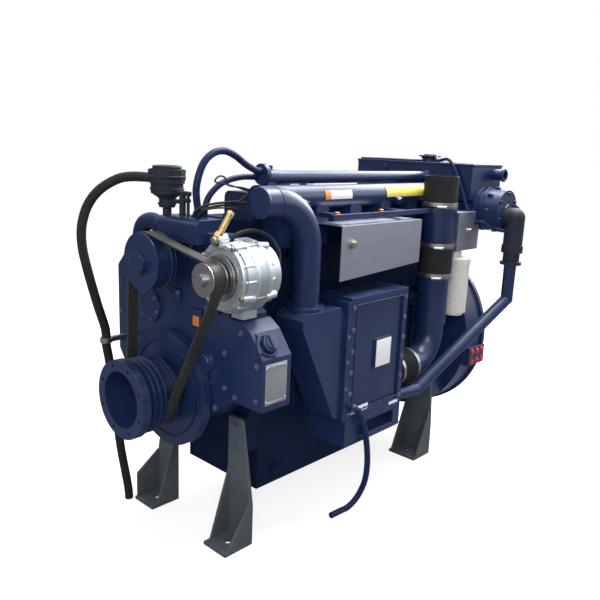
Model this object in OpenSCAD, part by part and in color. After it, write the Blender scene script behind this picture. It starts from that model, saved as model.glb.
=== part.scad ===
// Marine diesel engine, six cylinders in line, on four welded feet.
// Millimetres. X runs along the crankshaft to the flywheel end, Z is up, and
// the origin lies on the floor, in the middle of the four holes of the feet.

/* [Crankcase] */
// Height of the crankshaft axis above the soles of the feet
crank_z = 380; // [370:1:400]
// Distance from one cylinder axis to the next
cyl_pitch = 130; // [126:1:136]
// Middle of the row of cylinders, measured from the origin along X
cyl_mid_x = 82; // [72:1:92]
// Cylinder bore
bore_d = 105; // [100:1:108]
// Piston stroke
stroke = 130; // [120:1:134]
// Outer diameter of a cylinder liner
liner_d = 120; // [117:1:122]
// Height of the cylinder deck above the crankshaft axis
deck_h = 300; // [296:1:304]
// From the first cylinder axis to the front face of the block
front_end = 82; // [80:1:84]
// From the last cylinder axis to the rear face of the block
rear_end = 71; // [69:1:73]
// Half width of the crankcase
case_hw = 150; // [146:1:156]
// Height of the crankcase shoulder above the crankshaft axis
shoulder_h = 145; // [141:1:148]
// Half width of the cylinder block on the charge cooler side
block_near_hw = 115; // [112:1:118]
// Half width of the cylinder block on the exhaust side
block_far_hw = 80; // [78:1:84]
// Depth of the oil pan rail below the crankshaft axis
rail_drop = 80; // [76:1:84]

/* [Oil pan] */
// Depth of the sump below the pan rail
sump_h = 196; // [180:1:210]
// Half width of the sump
sump_hw = 135; // [125:1:142]
// Front end of the sump
sump_front_x = -280; // [-290:1:-260]
// Rear end of the sump
sump_rear_x = 330; // [300:1:334]

/* [Crank pulley and damper] */
// Front face of the crank pulley
pulley_x = -580; // [-590:1:-572]
// Radius of the plain front rim
pulley_r = 92; // [90:1:95]
// Radius of the pilot bore in the front face
pulley_bore_r = 66; // [62:1:68]
// Depth of the pilot bore
pulley_bore_l = 95; // [80:1:96]
// Pitch circle diameter of the threaded holes in the front face
pulley_pcd = 158; // [156:1:160]
// Radius of a threaded hole in the front face
pulley_hole_r = 4.2; // [3.4:0.1:4.5]
// Radius of the vibration damper
damper_r = 140; // [134:1:144]
// Thickness of the vibration damper
damper_t = 23; // [20:1:24]

/* [Belt drive] */
// Middle plane of the drive belt
belt_x = -500; // [-502:1:-499]
// Width of the belt
belt_w = 28; // [24:1:28]
// Thickness of the belt
belt_t = 5.5; // [5:0.1:6]
// Radius under the belt on the crank pulley
crank_belt_r = 73; // [71:1:75]
// Radius under the belt on the water pump pulley
pump_belt_r = 62; // [60:1:64]
// Radius under the belt on the alternator pulley
alt_belt_r = 30; // [28:1:33]
// Height of the water pump axis above the crankshaft axis
pump_h = 308; // [304:1:312]
// Sideways place of the alternator axis
alt_y = -212; // [-216:1:-208]
// Height of the alternator axis above the crankshaft axis
alt_h = 302; // [300:1:306]
// Radius of the alternator body
alt_r = 75; // [70:1:77]

/* [Flywheel housing] */
// Depth of the flywheel housing
housing_l = 104; // [100:1:110]
// Radius of the rear flange
flange_r = 276; // [274:1:280]
// Radius of the pilot bore in the rear flange
pilot_r = 255.6; // [254:0.1:257]
// Pitch circle diameter of the rear flange holes
flange_pcd = 530.2; // [529:0.1:532]
// Radius of a rear flange hole
flange_hole_r = 5.5; // [4.5:0.1:6]
// Radius of the flywheel
flywheel_r = 205; // [200:1:208]
// Pitch circle diameter of the coupling holes in the flywheel
coupling_pcd = 333.4; // [330:0.1:340]
// Radius of a coupling hole
coupling_hole_r = 5.3; // [4:0.1:6]

/* [Feet] */
// Half of the distance between the front and the rear holes
foot_x = 382; // [380:1:384]
// Half of the distance between the left and the right holes
foot_y = 147; // [145:1:150]
// Length of a foot's base plate along the engine
foot_l = 86; // [82:1:88]
// Width of a foot across the engine
foot_w = 80; // [76:1:82]
// Thickness of the base plate
foot_base_t = 8; // [6:1:10]
// Thickness of the upright plate
foot_plate_t = 12; // [10:1:13]
// Radius of the hole in the base plate
foot_hole_r = 9; // [7:0.5:10]
// Height of a front foot
front_foot_h = 314; // [312:1:316]
// Height of a rear foot
rear_foot_h = 285; // [280:1:288]

/* [Charge air] */
// Outer radius of the intake manifold tube
manifold_r = 29; // [27:1:29]
// Sideways place of the intake manifold tube
manifold_y = -146; // [-147:1:-144]
// Height of the intake manifold tube
manifold_z = 833; // [831:1:836]
// Outer radius of the charge air elbow
elbow_r = 33; // [32:1:36]
// Bend radius of the charge air elbow
elbow_bend = 112; // [100:1:115]
// Sideways place of the charge air elbow
elbow_y = -215; // [-217:1:-214]
// Front face of the charge cooler
cooler_y = -275; // [-279:1:-272]
// Thickness of the charge cooler
cooler_t = 100; // [98:1:104]
// Front end of the charge cooler
cooler_x0 = -112; // [-114:1:-108]
// Rear end of the charge cooler
cooler_x1 = 126; // [122:1:130]
// Underside of the charge cooler
cooler_z0 = 273; // [270:1:276]
// Top of the charge cooler
cooler_z1 = 600; // [596:1:606]
// Outer radius of the steel charge pipe
charge_r = 44; // [42:1:45]
// Place of the upright charge pipe along the engine
charge_x = 320; // [319:1:322]
// Sideways place of the upright charge pipe
charge_y = -230; // [-232:1:-228]

/* [Cooling] */
// Middle of the header tank along the engine
tank_x = 550; // [548:1:552]
// Thickness of the header tank
tank_t = 180; // [176:1:184]
// Near end of the header tank
tank_y0 = -245; // [-249:1:-241]
// Far end of the header tank
tank_y1 = 183; // [179:1:187]
// Top of the header tank
tank_z = 920; // [916:1:924]
// Height of the heat exchanger axis
exchanger_z = 790; // [788:1:794]
// Radius of the heat exchanger shell
exchanger_r = 60; // [57:1:61]
// Outer radius of the raw water pipe
raw_pipe_r = 18; // [16:1:18]
// Outer radius of the coolant return tube
return_r = 16; // [14:1:16]

/* [Hidden] */
$fn = 48;

// Clearances and overruns
cut = 1;
fit = 0.05;
gap = 0.3;
eps_gap = 0.5;

navy = [0.09, 0.12, 0.29];
grey_green = [0.24, 0.31, 0.33];
black = [0.05, 0.05, 0.06];
steel = [0.72, 0.72, 0.74];
brass = [0.72, 0.58, 0.28];

// Cylinder places
cyl_count = 6;
first_x = cyl_mid_x - cyl_pitch * (cyl_count - 1) / 2;
last_x = cyl_mid_x + cyl_pitch * (cyl_count - 1) / 2;
front_x = first_x - front_end;
rear_x = last_x + rear_end;
deck_z = crank_z + deck_h;
rail_z = crank_z - rail_drop;
shoulder_z = crank_z + shoulder_h;
function cyl_x(i) = first_x + cyl_pitch * i;
function main_x(i) = first_x + cyl_pitch * (i - 0.5);

// Geometry helpers
function unit(v) = v / norm(v);
function corner(a, b, c, r, n) =
    let (u = unit(a - b), v = unit(c - b), half = acos(max(-1, min(1, u * v))) / 2,
        centre = b + unit(u + v) * r / sin(half),
        d0 = b + u * r / tan(half) - centre, d1 = b + v * r / tan(half) - centre)
    [for (k = [0:n]) centre + r * unit(d0 * (n - k) + d1 * k)];
function rounded(p, r, n = 4) = [for (i = [0:len(p) - 1])
    each corner(p[(i + len(p) - 1) % len(p)], p[i], p[(i + 1) % len(p)], r, n)];
function smooth(p, i, t) =
    let (a = p[max(i - 1, 0)], b = p[i], c = p[i + 1], d = p[min(i + 2, len(p) - 1)])
    b + (c - a) / 2 * t + (a * 2 - b * 5 + c * 4 - d) / 2 * t * t
        + (b * 3 - a - c * 3 + d) / 2 * t * t * t;
function route(p, steps) = [for (i = [0:len(p) - 2]) for (k = [0:steps - 1])
    i == 0 || i == len(p) - 2 ? p[i] + (p[i + 1] - p[i]) * k / steps : smooth(p, i, k / steps), p[len(p) - 1]];

// Solids along X, Y and Z
module along_x(r, x0, x1) { translate([x0, 0, 0]) rotate([0, 90, 0]) cylinder(r = r, h = x1 - x0); }
module along_y(r, y0, y1) { translate([0, y0, 0]) rotate([-90, 0, 0]) cylinder(r = r, h = y1 - y0); }
module along_z(r, z0, z1) { translate([0, 0, z0]) cylinder(r = r, h = z1 - z0); }
module block3(x0, x1, y0, y1, z0, z1) { translate([x0, y0, z0]) cube([x1 - x0, y1 - y0, z1 - z0]); }
// A drawing in Y and Z, pushed along X
module push_x(x0, x1) { translate([x0, 0, 0]) rotate([90, 0, 90]) linear_extrude(x1 - x0) children(); }
// A drawing in X and Z, pushed along Y
module push_y(y0, y1) { translate([0, y1, 0]) rotate([90, 0, 0]) linear_extrude(y1 - y0) children(); }
module push_z(z0, z1) { translate([0, 0, z0]) linear_extrude(z1 - z0) children(); }
module turn_x() { rotate([0, 90, 0]) rotate_extrude($fn = 72) children(); }
// A straight rod from one point to another
module rod(a, b, r) {
    d = b - a;
    translate(a) rotate([0, acos(d[2] / norm(d)), atan2(d[1], d[0])]) cylinder(r = r, h = norm(d));
}
// A soft tube along the points of a route, across which side is a fixed direction
module swept(p, r, sides, side) {
    n = len(p);
    pts = [for (i = [0:n - 1])
        let (t = unit(p[min(i + 1, n - 1)] - p[max(i - 1, 0)]), a = unit(cross(t, side)), b = cross(t, a))
        for (k = [0:sides - 1]) p[i] + r * (a * cos(360 * k / sides) + b * sin(360 * k / sides))];
    skin = [for (i = [0:n - 2]) for (k = [0:sides - 1])
        let (k2 = (k + 1) % sides, j = i * sides, j2 = j + sides)
        each [[j + k, j2 + k, j2 + k2], [j + k, j2 + k2, j + k2]]];
    start = [for (k = [1:sides - 2]) [0, k, k + 1]];
    end = [for (k = [1:sides - 2]) [(n - 1) * sides, (n - 1) * sides + k + 1, (n - 1) * sides + k]];
    polyhedron(points = pts, faces = concat(skin, start, end), convexity = 6);
}
// A hexagon head on a shank: the head stands on the local +Z side of the seat
module bolt(s) { union() { cylinder(r = s * 0.95, h = s * 0.6, $fn = 6); cylinder(r = s * 1.1, h = s * 0.15); } }

// Crankcase and running gear
web_t = 26;
case_wall = 12;
main_r = 40;
pin_r = 30;
pin_len = 38;
crank_web_t = 20;
crank_web_r = 34;
counter_r = 95;
throw = stroke / 2;
bore_r = bore_d / 2;
liner_r = liner_d / 2;
liner_foot = 193;
liner_z0 = deck_z - liner_foot;
cam_off = 95.5;
cam_y = -cam_off;
cam_z = crank_z + cam_off;
cam_r = 26;
lobe_x = 28;
lobe_t = 14;
push_y = -92;
push_r = 5;
throws = [0, 120, 240, 240, 120, 0];
rod_len = 205;
cap_hw = 60;
cap_drop = 62;
cap_t = 24;
ear_out = 14;
ear_y = 100;
ear_z0 = 225;
function main_at(i) = i == cyl_count ? rear_x - web_t / 2 : main_x(i);
chamber_l = cyl_pitch - web_t;

// Gears
mod = 3;
gear_x0 = front_x - 93;
gear_x1 = front_x - 75;
tip_share = 0.45;
root_share = 1.1;
idler_y = 67.5;
idler_z = crank_z + 80.4;
ip_y = 130.9;
ip_z = crank_z + 216.4;
crank_teeth = 30;
cam_teeth = 60;
idler_teeth = 40;
ip_teeth = 60;
crank_phase = 3;
function mesh(phi, pa, na, nb) = phi + 180 - (pa - phi) * na / nb + 180 / nb;
cam_phase = mesh(atan2(cam_off, -cam_off), crank_phase, crank_teeth, cam_teeth);
idler_phase = mesh(atan2(idler_z - crank_z, idler_y), crank_phase, crank_teeth, idler_teeth);
ip_phase = mesh(atan2(ip_z - idler_z, ip_y - idler_y), idler_phase, idler_teeth, ip_teeth);
function tooth(n, a, m) = let (r = n * m / 2, p = 360 / n)
    [for (s = [[-0.2, -1], [-0.12, 1], [0.12, 1], [0.2, -1]])
        (s[1] > 0 ? r + m * tip_share : r - m * root_share) * [cos(a + s[0] * p), sin(a + s[0] * p)]];
module gear(n, phase, bore) {
    difference() {
        polygon([for (k = [0:n - 1]) each tooth(n, phase + 360 * k / n, mod)]);
        circle(r = bore);
    }
}

// Front end
case_x0 = front_x - 97;
cover_t = 8;
cover_x0 = case_x0 - cover_t;
case_wall_t = 8;
nose_r = 32;
nose_x = front_x - 145;
damper_x1 = cover_x0 - 3;
damper_x0 = damper_x1 - damper_t;
hub_r = 60;
rim_l = 20;
groove_pitch = 15;
groove_d = 10;
crest_r = pulley_r - 4;
belt_x0 = belt_x - belt_w / 2;
belt_x1 = belt_x + belt_w / 2;
pump_z = crank_z + pump_h;
alt_z = crank_z + alt_h;
case_top = 738;
// Outline of the gear case, in Y and Z
case_outline = [[-100, 318], [-200, 395], [-200, 585], [-130, 640], [-130, 738], [70, 738],
    [180, 705], [240, 640], [240, 420], [190, 350], [100, 318]];
case_inside = [[-97, 326], [-192, 399], [-192, 581], [-122, 636], [-122, 730], [69, 730],
    [176, 698], [232, 637], [232, 423], [185, 357], [97, 326]];

// Rear end
house_x1 = rear_x + housing_l;
house_wall = 15;
flange_t = 14;
bell_r = flange_r - 8;
fly_x0 = rear_x + 27;
fly_x1 = rear_x + 72;
drum_x = tank_x - 10;
drum_r = exchanger_r - 2;
lug_l = 53;
lug_z0 = 190;

module at(p, dir) {
    translate(p)
        rotate(dir == "-x" ? [0, -90, 0] : dir == "+x" ? [0, 90, 0] : dir == "-y" ? [90, 0, 0]
            : dir == "+y" ? [-90, 0, 0] : dir == "-z" ? [180, 0, 0] : [0, 0, 0]) children();
}
module mirror_y() { children(); mirror([0, 1, 0]) children(); }
module ring_z(r0, r1, z0, z1) { difference() { along_z(r1, z0, z1); along_z(r0, z0 - cut, z1 + cut); } }

module engine_block() {
    jacket_r = 63;
    jacket_z0 = 570;
    jacket_z1 = 660;
    roof = 12;
    push_hole = 8;
    rear_skin = 8;
    color(navy) difference() {
        union() {
            block3(front_x, rear_x, -case_hw, case_hw, rail_z, shoulder_z);
            block3(front_x, rear_x, -block_near_hw, block_far_hw, shoulder_z, deck_z);
            mirror_y() block3(front_x - ear_out, front_x + web_t + 4, ear_y, case_hw, ear_z0, rail_z + ear_out);
        }
        for (i = [0:cyl_count - 1]) {
            block3(cyl_x(i) - chamber_l / 2, cyl_x(i) + chamber_l / 2, case_wall - case_hw, case_hw - case_wall,
                rail_z - cut, shoulder_z - roof);
            translate([cyl_x(i), 0, 0]) {
                along_z(liner_r, liner_z0, deck_z + cut);
                along_z(jacket_r, jacket_z0, jacket_z1);
                for (s = [-1, 1]) translate([s * lobe_x, push_y, 0]) along_z(push_hole, shoulder_z - roof - cut, deck_z + cut);
            }
        }
        for (i = [0:cyl_count]) block3(main_at(i) - web_t, main_at(i) + web_t, -cap_hw, cap_hw, rail_z - cut, crank_z);
        translate([0, 0, crank_z]) along_x(main_r + fit, front_x - cut, rear_x + cut);
        translate([0, cam_y, cam_z]) along_x(cam_r, front_x - cut, rear_x - rear_skin);
    }
}

module cylinder_liners() {
    color(steel) for (i = [0:cyl_count - 1]) translate([cyl_x(i), 0, 0]) ring_z(bore_r, liner_r, liner_z0, deck_z);
}

module main_bearing_caps() {
    bolt_y = 50;
    bolt_s = 9;
    color([0.4, 0.4, 0.42]) for (i = [0:cyl_count]) difference() {
        union() {
            block3(main_at(i) - cap_t / 2, main_at(i) + cap_t / 2, -cap_hw, cap_hw, crank_z - cap_drop, crank_z);
            for (s = [-1, 1]) at([main_at(i), s * bolt_y, crank_z - cap_drop], "-z") bolt(bolt_s);
        }
        translate([0, 0, crank_z]) along_x(main_r + fit, main_at(i) - cap_t, main_at(i) + cap_t);
    }
}

// One crank web as a flat drawing, its throw pointing along the first axis
module web_shape() {
    neck = 12;
    difference() {
        union() {
            circle(r = main_r + 4);
            translate([throw, 0]) circle(r = crank_web_r);
            translate([0, -crank_web_r]) square([throw, 2 * crank_web_r]);
            circle(r = counter_r);
        }
        translate([neck, crank_web_r]) square(counter_r + throw);
        translate([neck, -crank_web_r - counter_r - throw]) square([counter_r + throw, counter_r + throw]);
        translate([throw, -counter_r]) difference() {
            square([counter_r, 2 * counter_r]);
            translate([0, counter_r]) circle(r = crank_web_r);
        }
    }
}

module crankshaft() {
    mid_r = 38;
    palm_r = 55;
    palm_x = rear_x + 3;
    web_in = pin_len / 2 + crank_web_t / 2;
    color(steel) translate([0, 0, crank_z]) union() {
        along_x(main_r, front_x, cyl_x(0) - web_in);
        for (i = [0:cyl_count - 2]) along_x(main_r, cyl_x(i) + web_in, cyl_x(i + 1) - web_in);
        along_x(main_r, last_x + web_in, fly_x0);
        along_x(palm_r, palm_x, fly_x0);
        along_x(mid_r, gear_x0, front_x + web_t / 2);
        along_x(nose_r, nose_x, gear_x1);
        push_x(gear_x0, gear_x1) gear(crank_teeth, crank_phase, 0);
        for (i = [0:cyl_count - 1]) rotate([throws[i], 0, 0]) {
            for (s = [-1, 1]) {
                w0 = cyl_x(i) + (s > 0 ? pin_len / 2 : -pin_len / 2 - crank_web_t);
                push_x(w0, w0 + crank_web_t) rotate([0, 0, -90]) web_shape();
            }
            translate([0, 0, -throw]) along_x(pin_r, cyl_x(i) - web_in, cyl_x(i) + web_in);
        }
    }
}

module camshaft() {
    body_r = 16;
    lobe_r = 14;
    lift = 11;
    front_r = 20;
    color(steel) translate([0, cam_y, cam_z]) {
        along_x(front_r, gear_x1, front_x);
        along_x(body_r, front_x, rear_x - web_t);
        for (i = [0:cyl_count]) {
            a = i == 0 ? front_x : main_at(i) - web_t / 2;
            b = i == cyl_count ? rear_x - case_wall : main_at(i) + web_t / 2 + (i == 0 ? 0 : 0);
            along_x(cam_r - fit, a, b);
        }
        for (i = [0:cyl_count - 1]) for (s = [-1, 1])
            rotate([throws[i] / 2 + s * 55 + 15, 0, 0]) push_x(cyl_x(i) + s * lobe_x - lobe_t / 2, cyl_x(i) + s * lobe_x + lobe_t / 2)
                union() {
                    circle(r = body_r + 1);
                    translate([lift, 0]) circle(r = lobe_r);
                }
        push_x(gear_x0, gear_x1) gear(cam_teeth, cam_phase, 0);
    }
}

// A piston, lifted from the bottom of its stroke to where its crank throw would hold it
function piston_lift(a) = throw * (1 - cos(a)) - rod_len + sqrt(rod_len * rod_len - pow(throw * sin(a), 2));
module piston(x, lift) {
    h = 62;
    crown_t = 12;
    skirt_t = 7;
    groove_z = 6;
    groove_h = 3;
    groove_in = 4;
    boss_r = 15;
    boss_in = 4;
    pin_bore = 10;
    z1 = crank_z + 169 + lift;
    z0 = z1 - h;
    color(steel) translate([x, 0, 0]) difference() {
        union() {
            difference() {
                along_z(bore_r - fit, z0, z1);
                along_z(bore_r - skirt_t, z0 - cut, z1 - crown_t);
                for (k = [1:3]) translate([0, 0, z1 - k * (groove_z + groove_h)]) difference() {
                    cylinder(r = bore_r + cut, h = groove_h);
                    cylinder(r = bore_r - groove_in, h = groove_h);
                }
            }
            for (s = [-1, 1]) translate([0, 0, z0 + h / 3])
                along_x(boss_r, s > 0 ? bore_r / 2 : boss_in - bore_r, s > 0 ? bore_r - boss_in : -bore_r / 2);
        }
        translate([0, 0, z0 + h / 3]) along_x(pin_bore, 8 - bore_r, bore_r - 8);
    }
}
module pistons_1_6() { for (i = [0, 5]) piston(cyl_x(i), piston_lift(throws[i])); }
module pistons_2_5() { for (i = [1, 4]) piston(cyl_x(i), piston_lift(throws[i])); }
module pistons_3_4() { for (i = [2, 3]) piston(cyl_x(i), piston_lift(throws[i])); }

// Cylinder heads, rocker covers and valve gear
head_w = 122;
head_h = 98;
head_far = 62;
head_z1 = deck_z + head_h;
cover_w = 105;
rocker_y0 = -112;
rocker_y1 = -14;
rocker_z1 = head_z1 + 65;
valve_y = -28;
stem_r = 4.5;
disc_r = 20;
disc_t = 4;
port_z = deck_z + 58;
port_r = 17;
shaft_y = -60;

module cylinder_heads() {
    push_hole = 8;
    color(navy) for (i = [0:cyl_count - 1]) difference() {
        block3(cyl_x(i) - head_w / 2, cyl_x(i) + head_w / 2, -block_near_hw, head_far, deck_z, head_z1);
        for (s = [-1, 1]) translate([cyl_x(i) + s * lobe_x, 0, 0]) {
            translate([0, push_y, 0]) along_z(push_hole, deck_z - cut, head_z1 + cut);
            translate([0, valve_y, 0]) {
                along_z(stem_r, deck_z - cut, head_z1 + cut);
                along_z(disc_r, deck_z - cut, deck_z + disc_t);
            }
        }
        translate([cyl_x(i), 0, port_z]) {
            along_y(port_r, -block_near_hw - cut, valve_y - disc_r);
            along_y(port_r, disc_r, head_far + cut);
        }
    }
}

module valve_gear() {
    stem_z = head_z1 + 28;
    rock_t = 12;
    rock_w = 14;
    rock_y = 38;
    rod_z0 = cam_z + 26;
    tappet_r = 7.5;
    tappet_l = 24;
    post_w = 10;
    shaft_r = 6;
    color(steel) for (i = [0:cyl_count - 1]) {
        for (s = [-1, 1]) translate([cyl_x(i) + s * lobe_x, 0, 0]) {
            translate([0, valve_y, 0]) {
                along_z(stem_r, deck_z + disc_t, stem_z);
                along_z(disc_r, deck_z, deck_z + disc_t);
            }
            translate([0, push_y, 0]) {
                along_z(tappet_r, rod_z0, rod_z0 + tappet_l);
                along_z(push_r, rod_z0 + tappet_l, stem_z);
            }
        }
        difference() {
            union() {
                for (s = [-1, 1]) block3(cyl_x(i) + s * lobe_x - rock_w / 2, cyl_x(i) + s * lobe_x + rock_w / 2,
                    shaft_y - rock_y, shaft_y + rock_y, stem_z, stem_z + rock_t);
                block3(cyl_x(i) - post_w / 2, cyl_x(i) + post_w / 2, shaft_y - post_w, shaft_y + post_w, head_z1, stem_z + rock_t);
                translate([0, shaft_y, stem_z + rock_t / 2]) along_x(shaft_r, cyl_x(i) - lobe_x, cyl_x(i) + lobe_x);
            }
        }
    }
}

module rocker_covers() {
    round_r = 16;
    shell = 4;
    outline = [[rocker_y0, head_z1], each corner([rocker_y0, head_z1], [rocker_y0, rocker_z1], [rocker_y1, rocker_z1], round_r, 5),
        each corner([rocker_y0, rocker_z1], [rocker_y1, rocker_z1], [rocker_y1, head_z1], round_r, 5), [rocker_y1, head_z1]];
    lip = 5;
    lip_z = 8;
    color(navy) for (i = [0:cyl_count - 1]) difference() {
        union() {
            push_x(cyl_x(i) - cover_w / 2, cyl_x(i) + cover_w / 2) polygon(outline);
            block3(cyl_x(i) - cover_w / 2, cyl_x(i) + cover_w / 2, rocker_y0, rocker_y1 + lip, head_z1, head_z1 + lip_z);
        }
        block3(cyl_x(i) - cover_w / 2 + shell, cyl_x(i) + cover_w / 2 - shell, rocker_y0 + shell, rocker_y1 - shell,
            head_z1 - cut, rocker_z1 - 2 * shell);
    }
}

module oil_pan() {
    skin = 5;
    rim = 8;
    end_hw = 95;
    front_z = 240;
    back_z = 250;
    front_rim = 97;
    back_rim = 117;
    rim_x0 = front_x + web_t + 4;
    rim_x1 = rear_x - lug_l;
    plug_r = 13;
    plug_l = 12;
    plug_z = 140;
    color(navy) difference() {
        union() {
            block3(sump_front_x, sump_rear_x, -sump_hw, sump_hw, rail_z - sump_h, rail_z);
            block3(front_x, sump_front_x, -end_hw, end_hw, front_z, rail_z);
            block3(sump_rear_x, rear_x, -end_hw, end_hw, back_z, rail_z);
            block3(rim_x0, rim_x1, -case_hw, case_hw, rail_z - rim, rail_z);
            block3(front_x, rim_x0, -front_rim, front_rim, rail_z - rim, rail_z);
            block3(rim_x1, rear_x, -back_rim, back_rim, rail_z - rim, rail_z);
            translate([sump_front_x + 60, 0, plug_z]) along_y(plug_r, -sump_hw - plug_l, -sump_hw);
        }
        block3(sump_front_x + skin, sump_rear_x - skin, skin - sump_hw, sump_hw - skin, rail_z - sump_h + skin, rail_z + cut);
        block3(front_x + skin, sump_front_x + 2 * skin, skin - end_hw, end_hw - skin, front_z + skin, rail_z + cut);
        block3(sump_rear_x - 2 * skin, rear_x - skin, skin - end_hw, end_hw - skin, back_z + skin, rail_z + cut);
    }
}

module gear_case() {
    boss_r = 20;
    crank_hole = 45;
    cam_hole = 27;
    ip_hole = 20;
    rear0 = front_x - case_wall_t;
    color(navy) difference() {
        union() {
            push_x(case_x0, front_x) difference() { polygon(case_outline); polygon(case_inside); }
            push_x(rear0, front_x) polygon(case_inside);
            translate([0, idler_y, idler_z]) along_x(boss_r, gear_x0 + cut, rear0);
        }
        translate([0, 0, crank_z]) along_x(crank_hole, rear0 - cut, front_x + cut);
        translate([0, cam_y, cam_z]) along_x(cam_hole, rear0 - cut, front_x + cut);
        translate([0, ip_y, ip_z]) along_x(ip_hole, rear0 - cut, front_x + cut);
    }
}

module gear_cover() {
    seal_r = 34;
    boss_r = 52;
    boss_t = 2;
    color(navy) difference() {
        union() {
            push_x(cover_x0, case_x0) polygon(case_outline);
            translate([0, 0, crank_z]) along_x(boss_r, cover_x0 - boss_t, cover_x0);
        }
        translate([0, 0, crank_z]) along_x(seal_r, cover_x0 - cut - boss_t, case_x0 + cut);
    }
}

module idler_gear() {
    boss_r = 20;
    hub_r0 = 30;
    color(steel) translate([0, idler_y, idler_z]) difference() {
        union() {
            push_x(gear_x0, gear_x1) gear(idler_teeth, idler_phase, boss_r + fit);
            along_x(hub_r0, gear_x1, gear_x1 + 20);
        }
        along_x(boss_r + fit, gear_x0 - cut, gear_x1 + 20 + cut);
    }
}

module injection_pump_gear() {
    shaft_r = 12;
    color(steel) translate([0, ip_y, ip_z]) {
        push_x(gear_x0, gear_x1) gear(ip_teeth, ip_phase, 0);
        along_x(shaft_r, gear_x1, front_x + 25);
    }
}

// Crank pulley: rim with bolt circle, three grooves for take-off belts, flat belt section, hub
module crank_pulley() {
    x0 = pulley_x;
    x1 = x0 + rim_l;
    g_half = 5;
    g_floor = 1.5;
    sect0 = x1 + 3 * groove_pitch;
    lip_r = crank_belt_r + 12;
    lip_x1 = belt_x1 + 5;
    bore_x = x0 + pulley_bore_l;
    hole_l = 18;
    grooves = [for (k = [0:2]) let (c = x1 + (k + 0.5) * groove_pitch)
        each [[crest_r, c - g_half - g_floor], [crest_r - groove_d, c - g_floor], [crest_r - groove_d, c + g_floor],
            [crest_r, c + g_half + g_floor]]];
    profile = [[0, bore_x], [pulley_bore_r, bore_x], [pulley_bore_r, x0], [pulley_r, x0], [pulley_r, x1], [crest_r, x1],
        each grooves, [crest_r, sect0], [crank_belt_r, sect0], [crank_belt_r, belt_x1 + 1], [lip_r, belt_x1 + 1],
        [lip_r, lip_x1], [hub_r, lip_x1], [hub_r, damper_x0], [nose_r, damper_x0], [nose_r, nose_x], [0, nose_x]];
    color(navy) translate([0, 0, crank_z]) difference() {
        turn_x() polygon(profile);
        for (k = [0:7]) rotate([22.5 + 45 * k, 0, 0]) translate([0, 0, pulley_pcd / 2]) along_x(pulley_hole_r, x0 - cut, x0 + hole_l);
    }
}

module vibration_damper() {
    groove_r0 = 112;
    groove_r1 = 118;
    groove_t = 4;
    color(black) translate([0, 0, crank_z]) turn_x() difference() {
        polygon([[nose_r, damper_x0], [damper_r, damper_x0], [damper_r, damper_x1], [nose_r, damper_x1]]);
        translate([groove_r0, damper_x0 - cut]) square([groove_r1 - groove_r0, groove_t + cut]);
    }
}

module flywheel() {
    ring_r = 216;
    ring_x0 = fly_x0 + 3;
    ring_x1 = fly_x0 + 15;
    dish_r0 = 90;
    dish_r1 = 150;
    dish = 18;
    hole_l = 20;
    bolt_pcr = 40;
    bolt_s = 9;
    color([0.45, 0.45, 0.47]) translate([0, 0, crank_z]) difference() {
        union() {
            turn_x() difference() {
                polygon([[0, fly_x0], [flywheel_r, fly_x0], [flywheel_r, fly_x1], [0, fly_x1]]);
                translate([dish_r0, fly_x1 - dish]) square([dish_r1 - dish_r0, dish + cut]);
            }
            turn_x() translate([flywheel_r, ring_x0]) square([ring_r - flywheel_r, ring_x1 - ring_x0]);
            for (k = [0:5]) rotate([60 * k, 0, 0]) at([fly_x1, 0, bolt_pcr], "+x") bolt(bolt_s);
        }
        for (k = [0:7]) rotate([22.5 + 45 * k, 0, 0]) translate([0, 0, coupling_pcd / 2]) along_x(coupling_hole_r, fly_x1 - hole_l, fly_x1 + cut);
    }
}

module flywheel_housing() {
    mouth_r = 70;
    pilot_l = 12;
    pilot_step = 5;
    lug_y0 = 120;
    lug_y1 = 195;
    post_y0 = 90;
    post_y1 = 120;
    post_x = 20;
    pad_x0 = rear_x + 8;
    pad_x1 = house_x1 - 2;
    pad_y = -280;
    pad_in = 45;
    pad_z0 = 300;
    pad_z1 = 357;
    holes = 12;
    color(navy) difference() {
        union() {
            translate([0, 0, crank_z]) {
                along_x(bell_r, rear_x, house_x1);
                along_x(flange_r, house_x1 - flange_t, house_x1);
            }
            mirror_y() {
                block3(rear_x - lug_l, rear_x + house_wall, lug_y0, lug_y1, lug_z0, rear_foot_h);
                block3(drum_x - post_x, drum_x + post_x, post_y0, post_y1, crank_z + bell_r / 2, exchanger_z);
            }
            block3(pad_x0, pad_x1, pad_y, pad_y + pad_in, pad_z0, pad_z1);
        }
        translate([0, 0, crank_z]) {
            along_x(pilot_r, house_x1 - pilot_l, house_x1 + cut);
            along_x(pilot_r - pilot_step, rear_x + house_wall, house_x1);
            along_x(mouth_r, rear_x - cut, rear_x + house_wall + cut);
            for (k = [0:holes - 1]) rotate([15 + 30 * k, 0, 0]) translate([0, 0, flange_pcd / 2])
                along_x(flange_hole_r, house_x1 - flange_t, house_x1 + cut);
        }
        translate([drum_x, 0, exchanger_z]) along_y(drum_r, -flange_r, flange_r);
    }
}

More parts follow.
